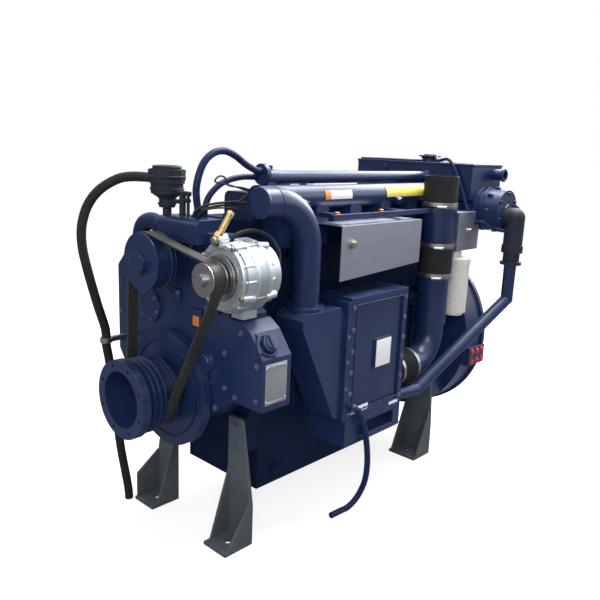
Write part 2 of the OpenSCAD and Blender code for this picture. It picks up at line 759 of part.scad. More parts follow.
// One welded foot, drawn on the far side: base, upright, inner gusset and outer gusset
module foot(x_in, dir, top, near) {
    gus_t = 6;
    gus_w = 56;
    gus_h = 180;
    low_h = near ? 105 : 125;
    low_w = foot_l - foot_plate_t - 6;
    inner = 107;
    outer = inner + foot_w;
    shrink = 37;
    round_r = 14;
    face = x_in + dir * foot_plate_t;
    up = [[inner, 0], [outer, 0], [outer, top / 3], each corner([outer, top / 3], [outer - shrink, top], [inner, top], round_r, 5), [inner, top]];
    difference() {
        union() {
            block3(min(x_in, x_in + dir * foot_l), max(x_in, x_in + dir * foot_l), inner, outer, 0, foot_base_t);
            push_x(min(x_in, face), max(x_in, face)) polygon(up);
            push_y(inner, inner + gus_t) polygon([[face, foot_base_t], [face + dir * gus_w, foot_base_t], [face, gus_h]]);
            push_y(outer - gus_t, outer) polygon(near ? [[face, foot_base_t], [face + dir * low_w, foot_base_t], [face, low_h]]
                : [[face, foot_base_t], [face + dir * low_w, foot_base_t], [face + dir * low_w, low_h * 0.6], [face, low_h]]);
        }
        translate([dir * foot_x, foot_y, 0]) along_z(foot_hole_r, -cut, foot_base_t + cut);
    }
}
module mounting_feet() {
    rear_in = rear_x - lug_l;
    color(grey_green) {
        foot(front_x - ear_out, -1, front_foot_h, false);
        mirror([0, 1, 0]) foot(front_x - ear_out, -1, front_foot_h, true);
        rear_foot();
        mirror([0, 1, 0]) rear_foot();
    }
}
module rear_foot() {
    gus_t = 6;
    gus_w = 62;
    gus_h = 160;
    inner = 107;
    outer = inner + foot_w + 16;
    face = rear_x - lug_l;
    back = face - foot_plate_t;
    base0 = face - foot_l;
    shrink = 10;
    round_r = 12;
    up = [[inner, 0], [outer, 0], [outer, rear_foot_h / 3], each corner([outer, rear_foot_h / 3], [outer - shrink, rear_foot_h], [inner, rear_foot_h], round_r, 5),
        [inner, rear_foot_h]];
    difference() {
        union() {
            block3(base0, face, inner, outer, 0, foot_base_t);
            push_x(back, face) polygon(up);
            for (y = [inner, outer - gus_t]) push_y(y, y + gus_t) polygon([[back, foot_base_t], [back - gus_w, foot_base_t], [back, gus_h]]);
        }
        translate([foot_x, foot_y, 0]) along_z(foot_hole_r, -cut, foot_base_t + cut);
    }
}

// Belt round three pulleys, counterclockwise in Y and Z: crank, pump, alternator
belt_axes = [[0, crank_z], [0, pump_z], [alt_y, alt_z]];
function belt_line(radii) = [for (i = [0:2])
    let (c0 = belt_axes[(i + 2) % 3], c1 = belt_axes[i], c2 = belt_axes[(i + 1) % 3],
        r0 = radii[(i + 2) % 3], r1 = radii[i], r2 = radii[(i + 1) % 3],
        a0 = atan2(c1[1] - c0[1], c1[0] - c0[0]) - acos((r0 - r1) / norm(c1 - c0)),
        a1r = atan2(c2[1] - c1[1], c2[0] - c1[0]) - acos((r1 - r2) / norm(c2 - c1)),
        a1 = a1r < a0 ? a1r + 360 : a1r)
    for (k = [0:12]) c1 + r1 / cos((a1 - a0) / 24) * [cos(a0 + (a1 - a0) * k / 12), sin(a0 + (a1 - a0) * k / 12)]];
module drive_belt() {
    off = gap;
    inner = [crank_belt_r + off, pump_belt_r + off, alt_belt_r + off];
    outer = [for (r = inner) r + belt_t];
    color(black) push_x(belt_x0, belt_x1) difference() { polygon(belt_line(outer)); polygon(belt_line(inner)); }
}

module water_pump() {
    body_r = 46;
    x0 = cover_x0 - 38;
    cave_r = 40;
    cave_x = cover_x0 - 26;
    shaft_r = 14;
    neck_x = 15;
    neck_y = 20;
    inlet_r = 20;
    inlet_y = 62;
    inlet_x = cover_x0 - 21;
    color(navy) difference() {
        union() {
            translate([0, 0, pump_z]) along_x(body_r, x0, cover_x0);
            block3(cover_x0 - 2 * neck_x, cover_x0, -neck_y, neck_y, pump_z, case_top);
            translate([inlet_x, 0, pump_z]) along_y(inlet_r - 3, 0, inlet_y);
        }
        translate([0, 0, pump_z]) {
            along_x(shaft_r + fit, x0 - cut, cover_x0);
            along_x(cave_r, cave_x, cover_x0 + cut);
        }
        translate([inlet_x, 0, pump_z]) along_y(inlet_r - 7, 0, inlet_y + cut);
    }
}

module water_pump_pulley() {
    hub0 = belt_x0 - 21;
    disc0 = belt_x0 - 9;
    disc_t0 = 6;
    rim_r = pump_belt_r + 4;
    inner_r = pump_belt_r - 7;
    back_x = cover_x0 - 42;
    shaft_r = 14;
    imp_r = 36;
    imp_t = 10;
    boss_r = 28;
    bolt_s = 5;
    color(navy) translate([0, 0, pump_z]) union() {
        turn_x() polygon([[0, hub0], [boss_r, hub0], [boss_r, disc0], [rim_r, disc0], [rim_r, disc0 + disc_t0 - 3], [pump_belt_r, disc0 + disc_t0],
            [pump_belt_r, belt_x1 + 1], [rim_r, belt_x1 + 2], [rim_r, belt_x1 + 5], [rim_r - 8, belt_x1 + 8], [rim_r, back_x - 2], [rim_r, back_x],
            [inner_r, back_x], [inner_r, disc0 + disc_t0], [shaft_r, disc0 + disc_t0], [shaft_r, cover_x0 - 12], [0, cover_x0 - 12]]);
        along_x(imp_r, cover_x0 - 22, cover_x0 - 22 + imp_t);
        for (k = [0:3]) rotate([45 + 90 * k, 0, 0]) at([hub0, 0, boss_r * 0.62], "-x") bolt(bolt_s);
    }
}

module thermostat_housing() {
    x0 = cover_x0 - 40;
    x1 = case_x0 + 30;
    y0 = -130;
    y1 = 10;
    z1 = 790;
    round_r = 14;
    arm_y = -176;
    arm_x0 = case_x0 - 20;
    arm_z = 24;
    outline = [[x0, case_top], [x1, case_top], each corner([x1, case_top], [x1, z1], [x0, z1], round_r / 2, 3),
        each corner([x1, z1], [x0, z1], [x0, case_top], round_r, 4)];
    color(navy) difference() {
        union() {
            push_y(y0, y1) polygon(outline);
            block3(arm_x0, x1, arm_y, y0, case_top, case_top + arm_z);
        }
        translate([0, alt_y, alt_z]) along_x(alt_r, x0, x1 + cut);
    }
}

module alternator_housing() {
    x0 = cover_x0 - 40;
    x1 = front_x - 37;
    cave_r = 58;
    end_t = 10;
    shaft_r = 12;
    lug_x0 = cover_x0;
    lug_x1 = front_x - 65;
    lug_y0 = -236;
    lug_y1 = -200;
    lug_z = 590;
    slot_r0 = 36;
    slot_r1 = 48;
    color([0.75, 0.76, 0.78]) difference() {
        union() {
            translate([0, alt_y, alt_z]) {
                along_x(alt_r - 6, x0, x0 + 8);
                along_x(alt_r, x0 + 8, x1 - 30);
                along_x(alt_r - 8, x1 - 30, x1);
            }
            block3(lug_x0, lug_x1, lug_y0, lug_y1, lug_z, alt_z);
        }
        translate([0, alt_y, alt_z]) {
            along_x(cave_r, x0 + end_t, x1 - end_t);
            along_x(shaft_r + fit, x0 - cut, x0 + 2 * end_t);
            for (k = [0:7]) rotate([45 * k, 0, 0]) translate([0, -4, slot_r0]) block3(x0 - cut, x0 + end_t + cut, 0, 8, 0, slot_r1 - slot_r0);
        }
    }
}

module alternator_rotor() {
    front = belt_x0 - 14;
    lip_r = alt_belt_r + 5;
    nut_r = 13;
    shaft_r = 12;
    fan_r = 48;
    fan_x0 = cover_x0 - 47;
    fan_x1 = cover_x0 - 44;
    arm_r = 52;
    color(steel) translate([0, alt_y, alt_z]) {
        turn_x() polygon([[0, front], [nut_r, front], [nut_r, belt_x0 - 5], [lip_r, belt_x0 - 5], [lip_r, belt_x0 - 2], [alt_belt_r, belt_x0 - 1],
            [alt_belt_r, belt_x1 + 1], [lip_r, belt_x1 + 2], [lip_r, belt_x1 + 5], [shaft_r, belt_x1 + 5], [shaft_r, fan_x0], [fan_r, fan_x0],
            [fan_r, fan_x1], [shaft_r, fan_x1], [shaft_r, cover_x0 - 22], [arm_r, cover_x0 - 22], [arm_r, front_x - 55], [0, front_x - 55]]);
    }
}

// Breather on the thermostat housing
breather_x = front_x - 126;
breather_z = 790;
hose_y = 871;
module breather() {
    stem_r = 10;
    neck_r = 18;
    neck_z0 = 807;
    bowl_z = 838;
    lid_z = 860;
    top = 897;
    bowl_r = 36;
    lid_r = 39;
    pipe_r = 5;
    drop_x = 8;
    drop_y = -46;
    turn_z = 822;
    color(black) union() {
        translate([breather_x, 0, 0]) {
            along_z(stem_r, breather_z, neck_z0);
            along_z(neck_r, neck_z0, bowl_z);
            along_z(bowl_r, bowl_z, lid_z);
            along_z(lid_r, lid_z, top - 6);
            along_z(lid_r - 7, top - 6, top);
            rod([0, 0, turn_z], [drop_x, drop_y, turn_z], pipe_r);
            translate([drop_x, drop_y, turn_z]) sphere(r = pipe_r + 2);
            translate([drop_x, drop_y, 0]) along_z(pipe_r, breather_z, turn_z);
        }
        rod([breather_x, 0, hose_y], breather_hose_route[0], breather_hose_r);
    }
}

// Hoses that hang free. Their ends are square to the pieces that they meet
breather_hose_r = 11;
breather_hose_route = [[-476, 43.3, 871], [-490, 67.5, 871], [-512, 100, 864], [-540, 132, 838], [-556, 158, 802], [-565, 172, 755],
    [-564, 176, 707], [-554, 176, 655], [-532, 175, 570], [-512, 175, 505], [-508, 175, 480], [-508, 175, 455], [-498, 177, 400],
    [-482, 183, 290], [-466, 189, 170], [-444, 196, 60], [-437, 199, 20], [-436, 199, 3]];
module breather_hose() { color(black) swept(route(breather_hose_route, 2), breather_hose_r, 10, [1, 0, 0]); }
drain_hose_r = 8;
drain_hose_route = [[-85, -288, 312], [-77, -288, 306], [-50, -288, 258], [-30, -286, 200], [-15, -281, 140], [-10, -273, 85],
    [-22, -262, 40], [-46, -252, 14], [-75, -246, 9], [-110, -244, 9]];
module drain_hose() { color(black) swept(route(drain_hose_route, 3), drain_hose_r, 8, [0, 1, 0]); }

// Coolant hoses held at both ends
hose_a = [[-435, -90, 790], [-435, -90, 806], [-440, -90, 855], [-424, -90, 903], [-397, -90, 928], [-365, -90, 935], [-332, -90, 926],
    [-295, -90, 905], [-262, -90, 892], [-247, -90, 892]];
hose_b = [[-402, -72, 790], [-402, -72, 806], [-390, -72, 835], [-360, -72, 860], [-325, -72, 872], [-290, -72, 877], [-262, -72, 877], [-247, -72, 877]];
hose_c = [[-451, 10, 764], [-451, 26, 764], [-451, 62, 770], [-451, 92, 758], [-451, 104, 728], [-451, 94, 700], [-451, 76, 688], [-451, 62, 688]];
module coolant_hoses() {
    thin_r = 8;
    thick_r = 20;
    line_r = 5;
    color(black) {
        swept(route(hose_a, 2), thin_r, 10, [0, 1, 0]);
        swept(route(hose_b, 2), thin_r - 1, 10, [0, 1, 0]);
        swept(route(hose_c, 2), thick_r, 12, [1, 0, 0]);
    }
}

// Intake manifold along the heads, with a leg on each head
leg_y = -168;
module intake_manifold() {
    x0 = front_x + 10;
    x1 = last_x + 13;
    tube_bore = manifold_r - 5;
    leg_w = 22;
    leg_z0 = deck_z + 22;
    leg = [[-block_near_hw, leg_z0], [-block_near_hw, head_z1 - 12], [rocker_y0 - 6, head_z1 + 10], [rocker_y0 - 6, manifold_z],
        [leg_y, manifold_z], [leg_y, leg_z0 + 18], [leg_y + 22, leg_z0]];
    color(navy) difference() {
        union() {
            translate([0, manifold_y, manifold_z]) along_x(manifold_r, x0, x1);
            for (i = [0:cyl_count - 1]) push_x(cyl_x(i) - leg_w, cyl_x(i) + leg_w) polygon(leg);
            translate([branch_x, 0, elbow_z]) along_y(branch_r, branch_y, manifold_y);
        }
        translate([0, manifold_y, manifold_z]) along_x(tube_bore, x0 + 6, x1 - 6);
        translate([branch_x, 0, elbow_z]) along_y(branch_r - 5, branch_y - cut, manifold_y);
        for (i = [0:cyl_count - 1]) rod([cyl_x(i), -block_near_hw + 2, port_z], [cyl_x(i), manifold_y, manifold_z], 13);
    }
}

// Charge air elbow from the manifold down to the plenum
elbow_z = 831;
elbow_start = front_x - 2;
branch_x = front_x + 35;
branch_r = 20;
branch_y = -180;
plenum_top = 580;
module charge_air_elbow() {
    x0 = front_x - 45;
    bend_x = elbow_start;
    down_x = bend_x + elbow_bend;
    bore = elbow_r - 4;
    flange_r0 = 46;
    flange_t0 = 8;
    color(navy) difference() {
        union() {
            translate([0, elbow_y, elbow_z]) along_x(elbow_r, x0, bend_x);
            translate([bend_x, elbow_y, elbow_z - elbow_bend]) rotate([90, 0, 0]) rotate_extrude(angle = 90) translate([elbow_bend, 0]) circle(r = elbow_r);
            translate([down_x, elbow_y, 0]) along_z(elbow_r, plenum_top, elbow_z - elbow_bend);
            translate([down_x, elbow_y, 0]) along_z(flange_r0, plenum_top, plenum_top + flange_t0);
            translate([branch_x, 0, elbow_z]) along_y(branch_r, elbow_y, branch_y);
        }
        translate([0, elbow_y, elbow_z]) along_x(bore, x0 + 5, bend_x);
        translate([bend_x, elbow_y, elbow_z - elbow_bend]) rotate([90, 0, 0]) rotate_extrude(angle = 90) translate([elbow_bend, 0]) circle(r = bore);
        translate([down_x, elbow_y, 0]) along_z(bore, plenum_top - cut, elbow_z - elbow_bend);
        translate([branch_x, 0, elbow_z]) along_y(branch_r - 5, elbow_y, branch_y + cut);
    }
}

cooler_y1 = cooler_y + cooler_t;
module cooler_plenum() {
    y0 = cooler_y + 10;
    y1 = cooler_y1;
    skin = 8;
    flange_l = 12;
    fx = cooler_x0 - flange_l;
    down_x = elbow_start + elbow_bend;
    outer = [[fx, 290], [fx - 26, 300], [fx - 148, 545], [fx - 148, 565], [fx - 131, plenum_top], [fx - 16, plenum_top], [fx, 560]];
    inner = [[fx, 304], [fx - 20, 312], [fx - 138, 549], [fx - 138, 560], [fx - 128, plenum_top - skin], [fx - 20, plenum_top - skin], [fx, 556]];
    color(navy) difference() {
        union() {
            push_y(y0, y1) polygon(outer);
            block3(fx, cooler_x0, cooler_y, y1, 283, 592);
        }
        push_y(y0 + skin, y1 - skin) polygon(inner);
        block3(fx - cut, cooler_x0 + cut, y0 + skin, y1 - skin, 304, 556);
        translate([down_x, elbow_y, 0]) along_z(elbow_r - 4, plenum_top - 2 * skin, plenum_top + cut);
    }
}

stub_z = 355;
stub_y = charge_y;
stub_r = 40;
module charge_cooler() {
    skin = 8;
    panel = 20;
    panel_d = 4;
    stub_l = 24;
    plate_x0 = -8;
    plate_x1 = 62;
    plate_z0 = 400;
    plate_z1 = 480;
    gland_x = -98;
    gland_z = 322;
    gland_r = 9;
    color(navy) difference() {
        union() {
            block3(cooler_x0, cooler_x1, cooler_y, cooler_y1, cooler_z0, cooler_z1);
            translate([0, stub_y, stub_z]) along_x(stub_r, cooler_x1, cooler_x1 + stub_l);
            translate([gland_x, 0, gland_z]) along_y(gland_r, drain_hose_route[0][1], cooler_y);
            translate([gland_x, drain_hose_route[0][1], gland_z]) sphere(r = gland_r);
            rod([gland_x, drain_hose_route[0][1], gland_z], drain_hose_route[0], gland_r - 2);
        }
        block3(cooler_x0 - cut, cooler_x1 - skin, cooler_y + skin + panel_d, cooler_y1 - skin, cooler_z0 + skin, cooler_z1 - skin);
        difference() {
            block3(cooler_x0 + panel, cooler_x1 - panel, cooler_y - cut, cooler_y + panel_d, cooler_z0 + panel, cooler_z1 - panel);
            block3(plate_x0, plate_x1, cooler_y - cut, cooler_y + panel_d, plate_z0, plate_z1);
        }
        translate([0, stub_y, stub_z]) along_x(stub_r - 4, cooler_x1 - 2 * skin, cooler_x1 + stub_l + cut);
    }
}

module cooler_core() {
    skin = 8;
    panel_d = 4;
    y0 = cooler_y + skin + panel_d;
    y1 = cooler_y1 - skin;
    z0 = cooler_z0 + skin;
    z1 = cooler_z1 - skin;
    x0 = cooler_x0 + 14;
    x1 = cooler_x1 - skin - 34;
    rows = 10;
    pitch = (z1 - z0) / rows;
    slot = 0.6;
    side = 5;
    color(steel) difference() {
        block3(x0, x1, y0, y1, z0, z1);
        for (k = [0:rows - 1]) translate([0, 0, z0 + pitch * (k + (1 - slot) / 2)])
            block3(x0 - cut, x1 + cut, y0 + side, y1 - side, 0, pitch * slot);
    }
}

module cooler_stand() {
    z0 = 212;
    t = 8;
    win_x0 = -55;
    win_x1 = 95;
    win_z0 = 224;
    win_z1 = 262;
    tall_z = 400;
    x0 = cooler_x0;
    x1 = cooler_x1;
    side = [[cooler_y + t, z0], [-case_hw, z0], [-case_hw, tall_z], [cooler_y1, tall_z], [cooler_y1, cooler_z0], [cooler_y + t, cooler_z0]];
    color(navy) difference() {
        union() {
            block3(x0, x1, cooler_y, cooler_y + t, z0, cooler_z0);
            push_x(x0, x0 + t) polygon(side);
            push_x(x1 - t, x1) polygon(side);
            block3(x0, x1, cooler_y, cooler_y1, cooler_z0 - t, cooler_z0);
        }
        block3(win_x0, win_x1, cooler_y - cut, cooler_y + t + cut, win_z0, win_z1);
    }
}

// Charge pipe: two steel pipes joined and ended by rubber hoses
pipe_bore = charge_r - 4;
low_bend = 85;
bend_z = stub_z + low_bend;
bend_x = charge_x - low_bend;
up_z0 = 690;
up_z1 = 812;
low_z1 = 612;
sleeve_r = charge_r + 4.5;
module charge_pipe_upper() {
    color(navy) translate([charge_x, charge_y, 0]) ring_z(pipe_bore, charge_r, up_z0, up_z1);
}
module charge_pipe_lower() {
    step_z = bend_z + 22;
    tail_x = cooler_x1 + 82;
    color(navy) difference() {
        union() {
            translate([charge_x, stub_y, 0]) along_z(charge_r, step_z, low_z1);
            translate([charge_x, stub_y, 0]) along_z(stub_r, bend_z, step_z);
            translate([bend_x, stub_y, bend_z]) rotate([90, 0, 0]) rotate([0, 0, -90]) rotate_extrude(angle = 90) translate([low_bend, 0]) circle(r = stub_r);
            translate([0, stub_y, stub_z]) along_x(stub_r, tail_x, bend_x);
        }
        translate([charge_x, stub_y, 0]) along_z(pipe_bore - 4, bend_z, low_z1 + cut);
        translate([bend_x, stub_y, bend_z]) rotate([90, 0, 0]) rotate([0, 0, -90]) rotate_extrude(angle = 90) translate([low_bend, 0]) circle(r = pipe_bore - 4);
        translate([0, stub_y, stub_z]) along_x(pipe_bore - 4, tail_x - cut, bend_x);
    }
}
module charge_air_hoses() {
    top0 = 800;
    top1 = 887;
    grip = 2;
    mid0 = 600;
    mid1 = 702;
    rib_x0 = cooler_x1 + 10;
    rib_x1 = cooler_x1 + 94;
    ribs = 6;
    end_l = 14;
    rib_r = 50;
    valley_r = 45;
    rib_p = (rib_x1 - rib_x0 - 2 * end_l) / ribs;
    wave = [for (k = [0:ribs - 1]) let (a = rib_x0 + end_l + rib_p * k)
        each [[valley_r, a], [rib_r, a + rib_p * 0.25], [rib_r, a + rib_p * 0.6], [valley_r, a + rib_p * 0.85]]];
    color(black) {
        translate([charge_x, charge_y, 0]) {
            ring_z(charge_r, sleeve_r, top0, up_z1);
            ring_z(charge_r - grip, sleeve_r, up_z1, top1);
        }
        translate([charge_x, charge_y, 0]) ring_z(charge_r, sleeve_r, mid0, mid1);
        translate([0, stub_y, stub_z]) turn_x() polygon([[stub_r, rib_x0], [valley_r, rib_x0], each wave, [valley_r, rib_x1], [stub_r, rib_x1]]);
    }
}

// Worm drive clamps, and the clip that holds the breather hose
module hose_clamps() {
    w = 11;
    t = 1.6;
    valley_r = 45;
    clip_z = 462;
    clip_t = 12;
    clip_r = 15;
    hx = breather_hose_route[10][0];
    hy = breather_hose_route[10][1];
    color([0.75, 0.75, 0.72]) {
        for (z = [803, 688.5, 602]) translate([charge_x, charge_y, 0]) ring_z(sleeve_r, sleeve_r + t, z, z + w);
        for (x = [cooler_x1 + 12, cooler_x1 + 81]) translate([0, stub_y, stub_z]) difference() {
            along_x(valley_r + t, x, x + w);
            along_x(valley_r, x - cut, x + w + cut);
        }
        difference() {
            union() {
                translate([hx, hy, 0]) along_z(clip_r, clip_z, clip_z + clip_t);
                block3(hx, cover_x0, hy - 6, hy + 6, clip_z, clip_z + clip_t);
            }
            translate([hx, hy, 0]) along_z(breather_hose_r + gap, clip_z - cut, clip_z + clip_t + cut);
        }
    }
}

bar_z0 = 786;
bar_z1 = 798;
module pipe_support_bar() {
    x0 = -150;
    y0 = -236;
    y1 = -224;
    ring_t = 6;
    arm_w = 11;
    color(navy) difference() {
        union() {
            block3(x0, charge_x, y0, y1, bar_z0, bar_z1);
            translate([charge_x, charge_y, 0]) along_z(charge_r + ring_t, bar_z0, bar_z1);
            for (i = [1, 3]) block3(cyl_x(i) - arm_w, cyl_x(i) + arm_w, y1, leg_y, bar_z0, bar_z1);
        }
        translate([charge_x, charge_y, 0]) along_z(charge_r, bar_z0 - cut, bar_z1 + cut);
    }
}

module heat_shields() {
    t = 2;
    front_y = -250;
    x0 = -136;
    x1 = 200;
    top = 773;
    low0 = 640;
    low1 = 657;
    rear_y = -262;
    rx0 = 374;
    rx1 = 496;
    rear_top = 784;
    rear_low = 672;
    drum_gap = 8;
    color([0.72, 0.71, 0.68]) {
        block3(x0, x1, front_y, leg_y, top - t, top);
        push_y(front_y - t, front_y) polygon([[x0, low0], [x1, low1], [x1, top], [x0, top]]);
        difference() {
            union() {
                block3(rx0, rx1, rear_y, leg_y, rear_top - t, rear_top);
                block3(rx0, rx1, rear_y - t, rear_y, rear_low, rear_top);
                block3(rx0, rx0 + t, rear_y, leg_y, rear_low, rear_top);
            }
            translate([drum_x, 0, exchanger_z]) along_y(exchanger_r + drum_gap, rear_y - case_hw, 0);
        }
    }
}

// Raw water pipe from the outlet down to the charge cooler
outlet_y = -356;
raw_route = [[drum_x, outlet_y, 632], [drum_x, outlet_y, 525], [215, -270, 291], [cooler_x1 - 6, -256.2, 293.1]];
module raw_water_pipe() {
    bead = 0.8;
    color(navy) difference() {
        union() {
            for (i = [0:2]) rod(raw_route[i], raw_route[i + 1], raw_pipe_r);
            for (i = [1, 2]) translate(raw_route[i]) sphere(r = raw_pipe_r + bead);
        }
        block3(cooler_x1 - cooler_t, cooler_x1, cooler_y - cooler_t, cooler_y1, cooler_z0 - raw_pipe_r, cooler_z0 + cooler_t);
    }
}

module raw_water_outlet() {
    r = 28;
    neck_r = 24;
    ring_r = 31;
    low = 632;
    top = 772;
    lever_z = 656;
    color(black) difference() {
        union() {
            translate([drum_x, outlet_y, 0]) {
                along_z(ring_r, low, low + 9);
                along_z(neck_r, low, top);
                along_z(ring_r, 668, 690);
                along_z(r, 690, top);
            }
            translate([drum_x, outlet_y, top]) sphere(r = r);
            translate([drum_x, 0, top]) along_y(r, outlet_y, -327);
        }
        translate([drum_x, outlet_y, lever_z]) along_x(4 + fit, 14, ring_r);
    }
}
module drain_valve_lever() {
    lever_z = 656;
    color(black) translate([drum_x, outlet_y, lever_z]) {
        along_x(4, 14, 34);
        along_x(7, 34, 42);
        block3(34, 42, -5, 5, -4, 24);
    }
}

module heat_exchanger() {
    y0 = -327;
    y1 = 184;
    tank_end = tank_y0 - 1;
    bore = drum_r - 6;
    tube_r = 8;
    tube_c = 30;
    plate_t = 6;
    color(navy) translate([drum_x, 0, exchanger_z]) {
        difference() {
            union() {
                along_y(drum_r, tank_end, y1);
                along_y(exchanger_r, y0, -275);
                along_y(exchanger_r + 4, -275, -267);
                along_y(exchanger_r - 2, -267, -258);
                along_y(exchanger_r + 6, -258, tank_end);
                along_y(exchanger_r + 2, y1, y1 + 20);
            }
            along_y(bore, -270, y1 + 10);
        }
        for (y = [-240, 170]) difference() {
            along_y(bore, y, y + plate_t);
            for (k = [0:5]) rotate([0, 60 * k, 0]) translate([tube_c, 0, 0]) along_y(tube_r, y - cut, y + plate_t + cut);
        }
        for (k = [0:5]) rotate([0, 60 * k, 0]) translate([tube_c, 0, 0]) difference() {
            along_y(tube_r, -240, 176);
            along_y(tube_r - 2, -241, 177);
        }
    }
}

neck_x = tank_x - 10;
neck_y = -45;
neck_r = 24;
neck_h = 10;
neck_bore = 19;
module header_tank() {
    skin = 6;
    low = tank_z - 105;
    x0 = tank_x - tank_t / 2;
    x1 = tank_x + tank_t / 2;
    edge = 5;
    lid_t = 6;
    stub_x = 590;
    stub_z0 = tank_z - 29;
    stub_r0 = 17;
    pad_y = 78;
    pad_z = tank_z - 24;
    color(navy) difference() {
        union() {
            push_y(tank_y0, tank_y1) polygon([[x0, low], [x1, low], [x1, tank_z - edge], [x1 - edge, tank_z], [x0 + edge, tank_z], [x0, tank_z - edge]]);
            block3(x0 + 2 * edge, x1 - 2 * edge, -13, tank_y1 - 3, tank_z, tank_z + lid_t);
            translate([neck_x, neck_y, 0]) along_z(neck_r, tank_z, tank_z + neck_h);
            translate([stub_x, 0, stub_z0]) {
                along_y(stub_r0, tank_y0 - 40, tank_y0);
            }
            translate([0, pad_y, pad_z]) along_x(16, x0 - 8, x0);
        }
        difference() {
            block3(x0 + skin, x1 - skin, tank_y0 + skin, tank_y1 - skin, low + skin, tank_z - skin);
            translate([drum_x, 0, exchanger_z]) along_y(drum_r + skin, tank_y0, tank_y1);
        }
        translate([drum_x, 0, exchanger_z]) along_y(drum_r, tank_y0 - cut, tank_y1 + cut);
        translate([neck_x, neck_y, 0]) along_z(neck_bore, tank_z - 2 * skin, tank_z + neck_h + cut);
        translate([stub_x, 0, stub_z0]) along_y(stub_r0 - 4, tank_y0 - 41, tank_y0 + 2 * skin);
    }
}
module tank_filler_cap() {
    h = 14;
    cap_r = 27;
    plug_h = 12;
    ears = 33;
    color(black) translate([neck_x, neck_y, tank_z + neck_h]) {
        along_z(cap_r, 0, h - 4);
        along_z(cap_r - 8, h - 4, h);
        block3(-ears, ears, -7, 7, 1, h - 6);
        along_z(neck_bore - fit, -plug_h, 0);
    }
}

module coolant_return_tube() {
    y = -90;
    z = 877;
    x0 = first_x + 39;
    x1 = tank_x - tank_t / 2;
    fit_x0 = first_x - 4;
    flange = 25;
    plug = 8;
    color(navy) difference() {
        union() {
            translate([0, y, z]) along_x(return_r, x0, x1);
            translate([0, y, z]) along_x(return_r + 4, x1 - 12, x1);
            translate([0, y + 4, z + 7]) along_x(flange, fit_x0, fit_x0 + 12);
            translate([0, y, z]) along_x(return_r + 2, fit_x0, x0);
            translate([fit_x0 + 24, y, 0]) along_z(plug, z, z + 28);
            block3(first_x + 2, first_x + 30, y - 15, y + 15, rocker_z1, z);
            block3(last_x - 10, last_x + 10, y - 10, y + 10, rocker_z1, z);
        }
        translate([0, y, z]) along_x(return_r - 3, x0 - 20, x1 + cut);
    }
}

// Oil cooler housing beside the gear case
cooler_slope = [[-300, 515], [-262, 565]];
case_side_z = 585;
oil_x0 = cover_x0;
oil_x1 = front_x - 20;
cap_at = [front_x - 72, -281, 540];
cap_tilt = atan2(50, 38);
module oil_cooler_housing() {
    color(navy) difference() {
        push_x(oil_x0, oil_x1) polygon([[-200, 400], [-300, 400], cooler_slope[0], cooler_slope[1], [-232, case_side_z], [-200, case_side_z]]);
        translate(cap_at) rotate([cap_tilt, 0, 0]) along_z(12, -20, cut);
        block3(oil_x0 + 12, oil_x1 - 12, -288, -212, 412, 500);
    }
}
module oil_filler_cap() {
    color(black) translate(cap_at) rotate([cap_tilt, 0, 0]) {
        along_z(12 - fit, -14, 0);
        along_z(20, 0, 12);
        along_z(14, 12, 15);
        block3(-4, 4, -18, 18, 12, 19);
    }
}

module fuel_filter() {
    x = 404;
    y = -255;
    r = 36;
    z0 = 480;
    z1 = 650;
    arm_z1 = 668;
    arm_w = 20;
    color([0.85, 0.84, 0.8]) {
        translate([x, y, 0]) {
            along_z(r, z0 + 8, z1 - 18);
            along_z(r - 8, z0, z0 + 8);
        }
        color(navy) {
            translate([x, y, 0]) along_z(r + 2, z1 - 18, z1);
            block3(x - arm_w, x + arm_w, y, -block_near_hw, z1, arm_z1);
        }
    }
}

module injection_pump() {
    r = 42;
    x1 = -90;
    out_r = 6;
    out_h = 16;
    outs = 6;
    step = 26;
    base_z = shoulder_z;
    lever_x = -150;
    color(navy) difference() {
        union() {
            translate([0, ip_y, ip_z]) along_x(r, front_x, x1);
            translate([0, ip_y, ip_z]) along_x(r + 8, front_x, front_x + 10);
            for (k = [0:outs - 1]) translate([front_x + 60 + step * k, ip_y, 0]) along_z(out_r, ip_z, ip_z + r + out_h);
            block3(front_x + 60, x1 - 20, ip_y - 30, ip_y + 10, base_z, ip_z);
            translate([lever_x, 0, ip_z]) along_y(10, ip_y, ip_y + r + 6);
        }
        translate([0, ip_y, ip_z]) along_x(12 + fit, front_x - cut, front_x + 30);
        translate([lever_x, 0, ip_z]) along_y(5 + fit, ip_y + r - 14, ip_y + r + 6 + cut);
    }
}
module throttle_lever() {
    r = 42;
    lever_x = -150;
    y0 = ip_y + r + 6 + gap;
    color(steel) translate([lever_x, 0, ip_z]) {
        along_y(5, ip_y + r - 12, y0);
        difference() {
            union() {
                along_y(9, y0, y0 + 6);
                block3(-7, 7, y0, y0 + 6, 0, 58);
                translate([0, 0, 58]) along_y(7, y0, y0 + 6);
            }
            translate([0, 0, 58]) along_y(3.5, y0 - cut, y0 + 7);
        }
    }
}

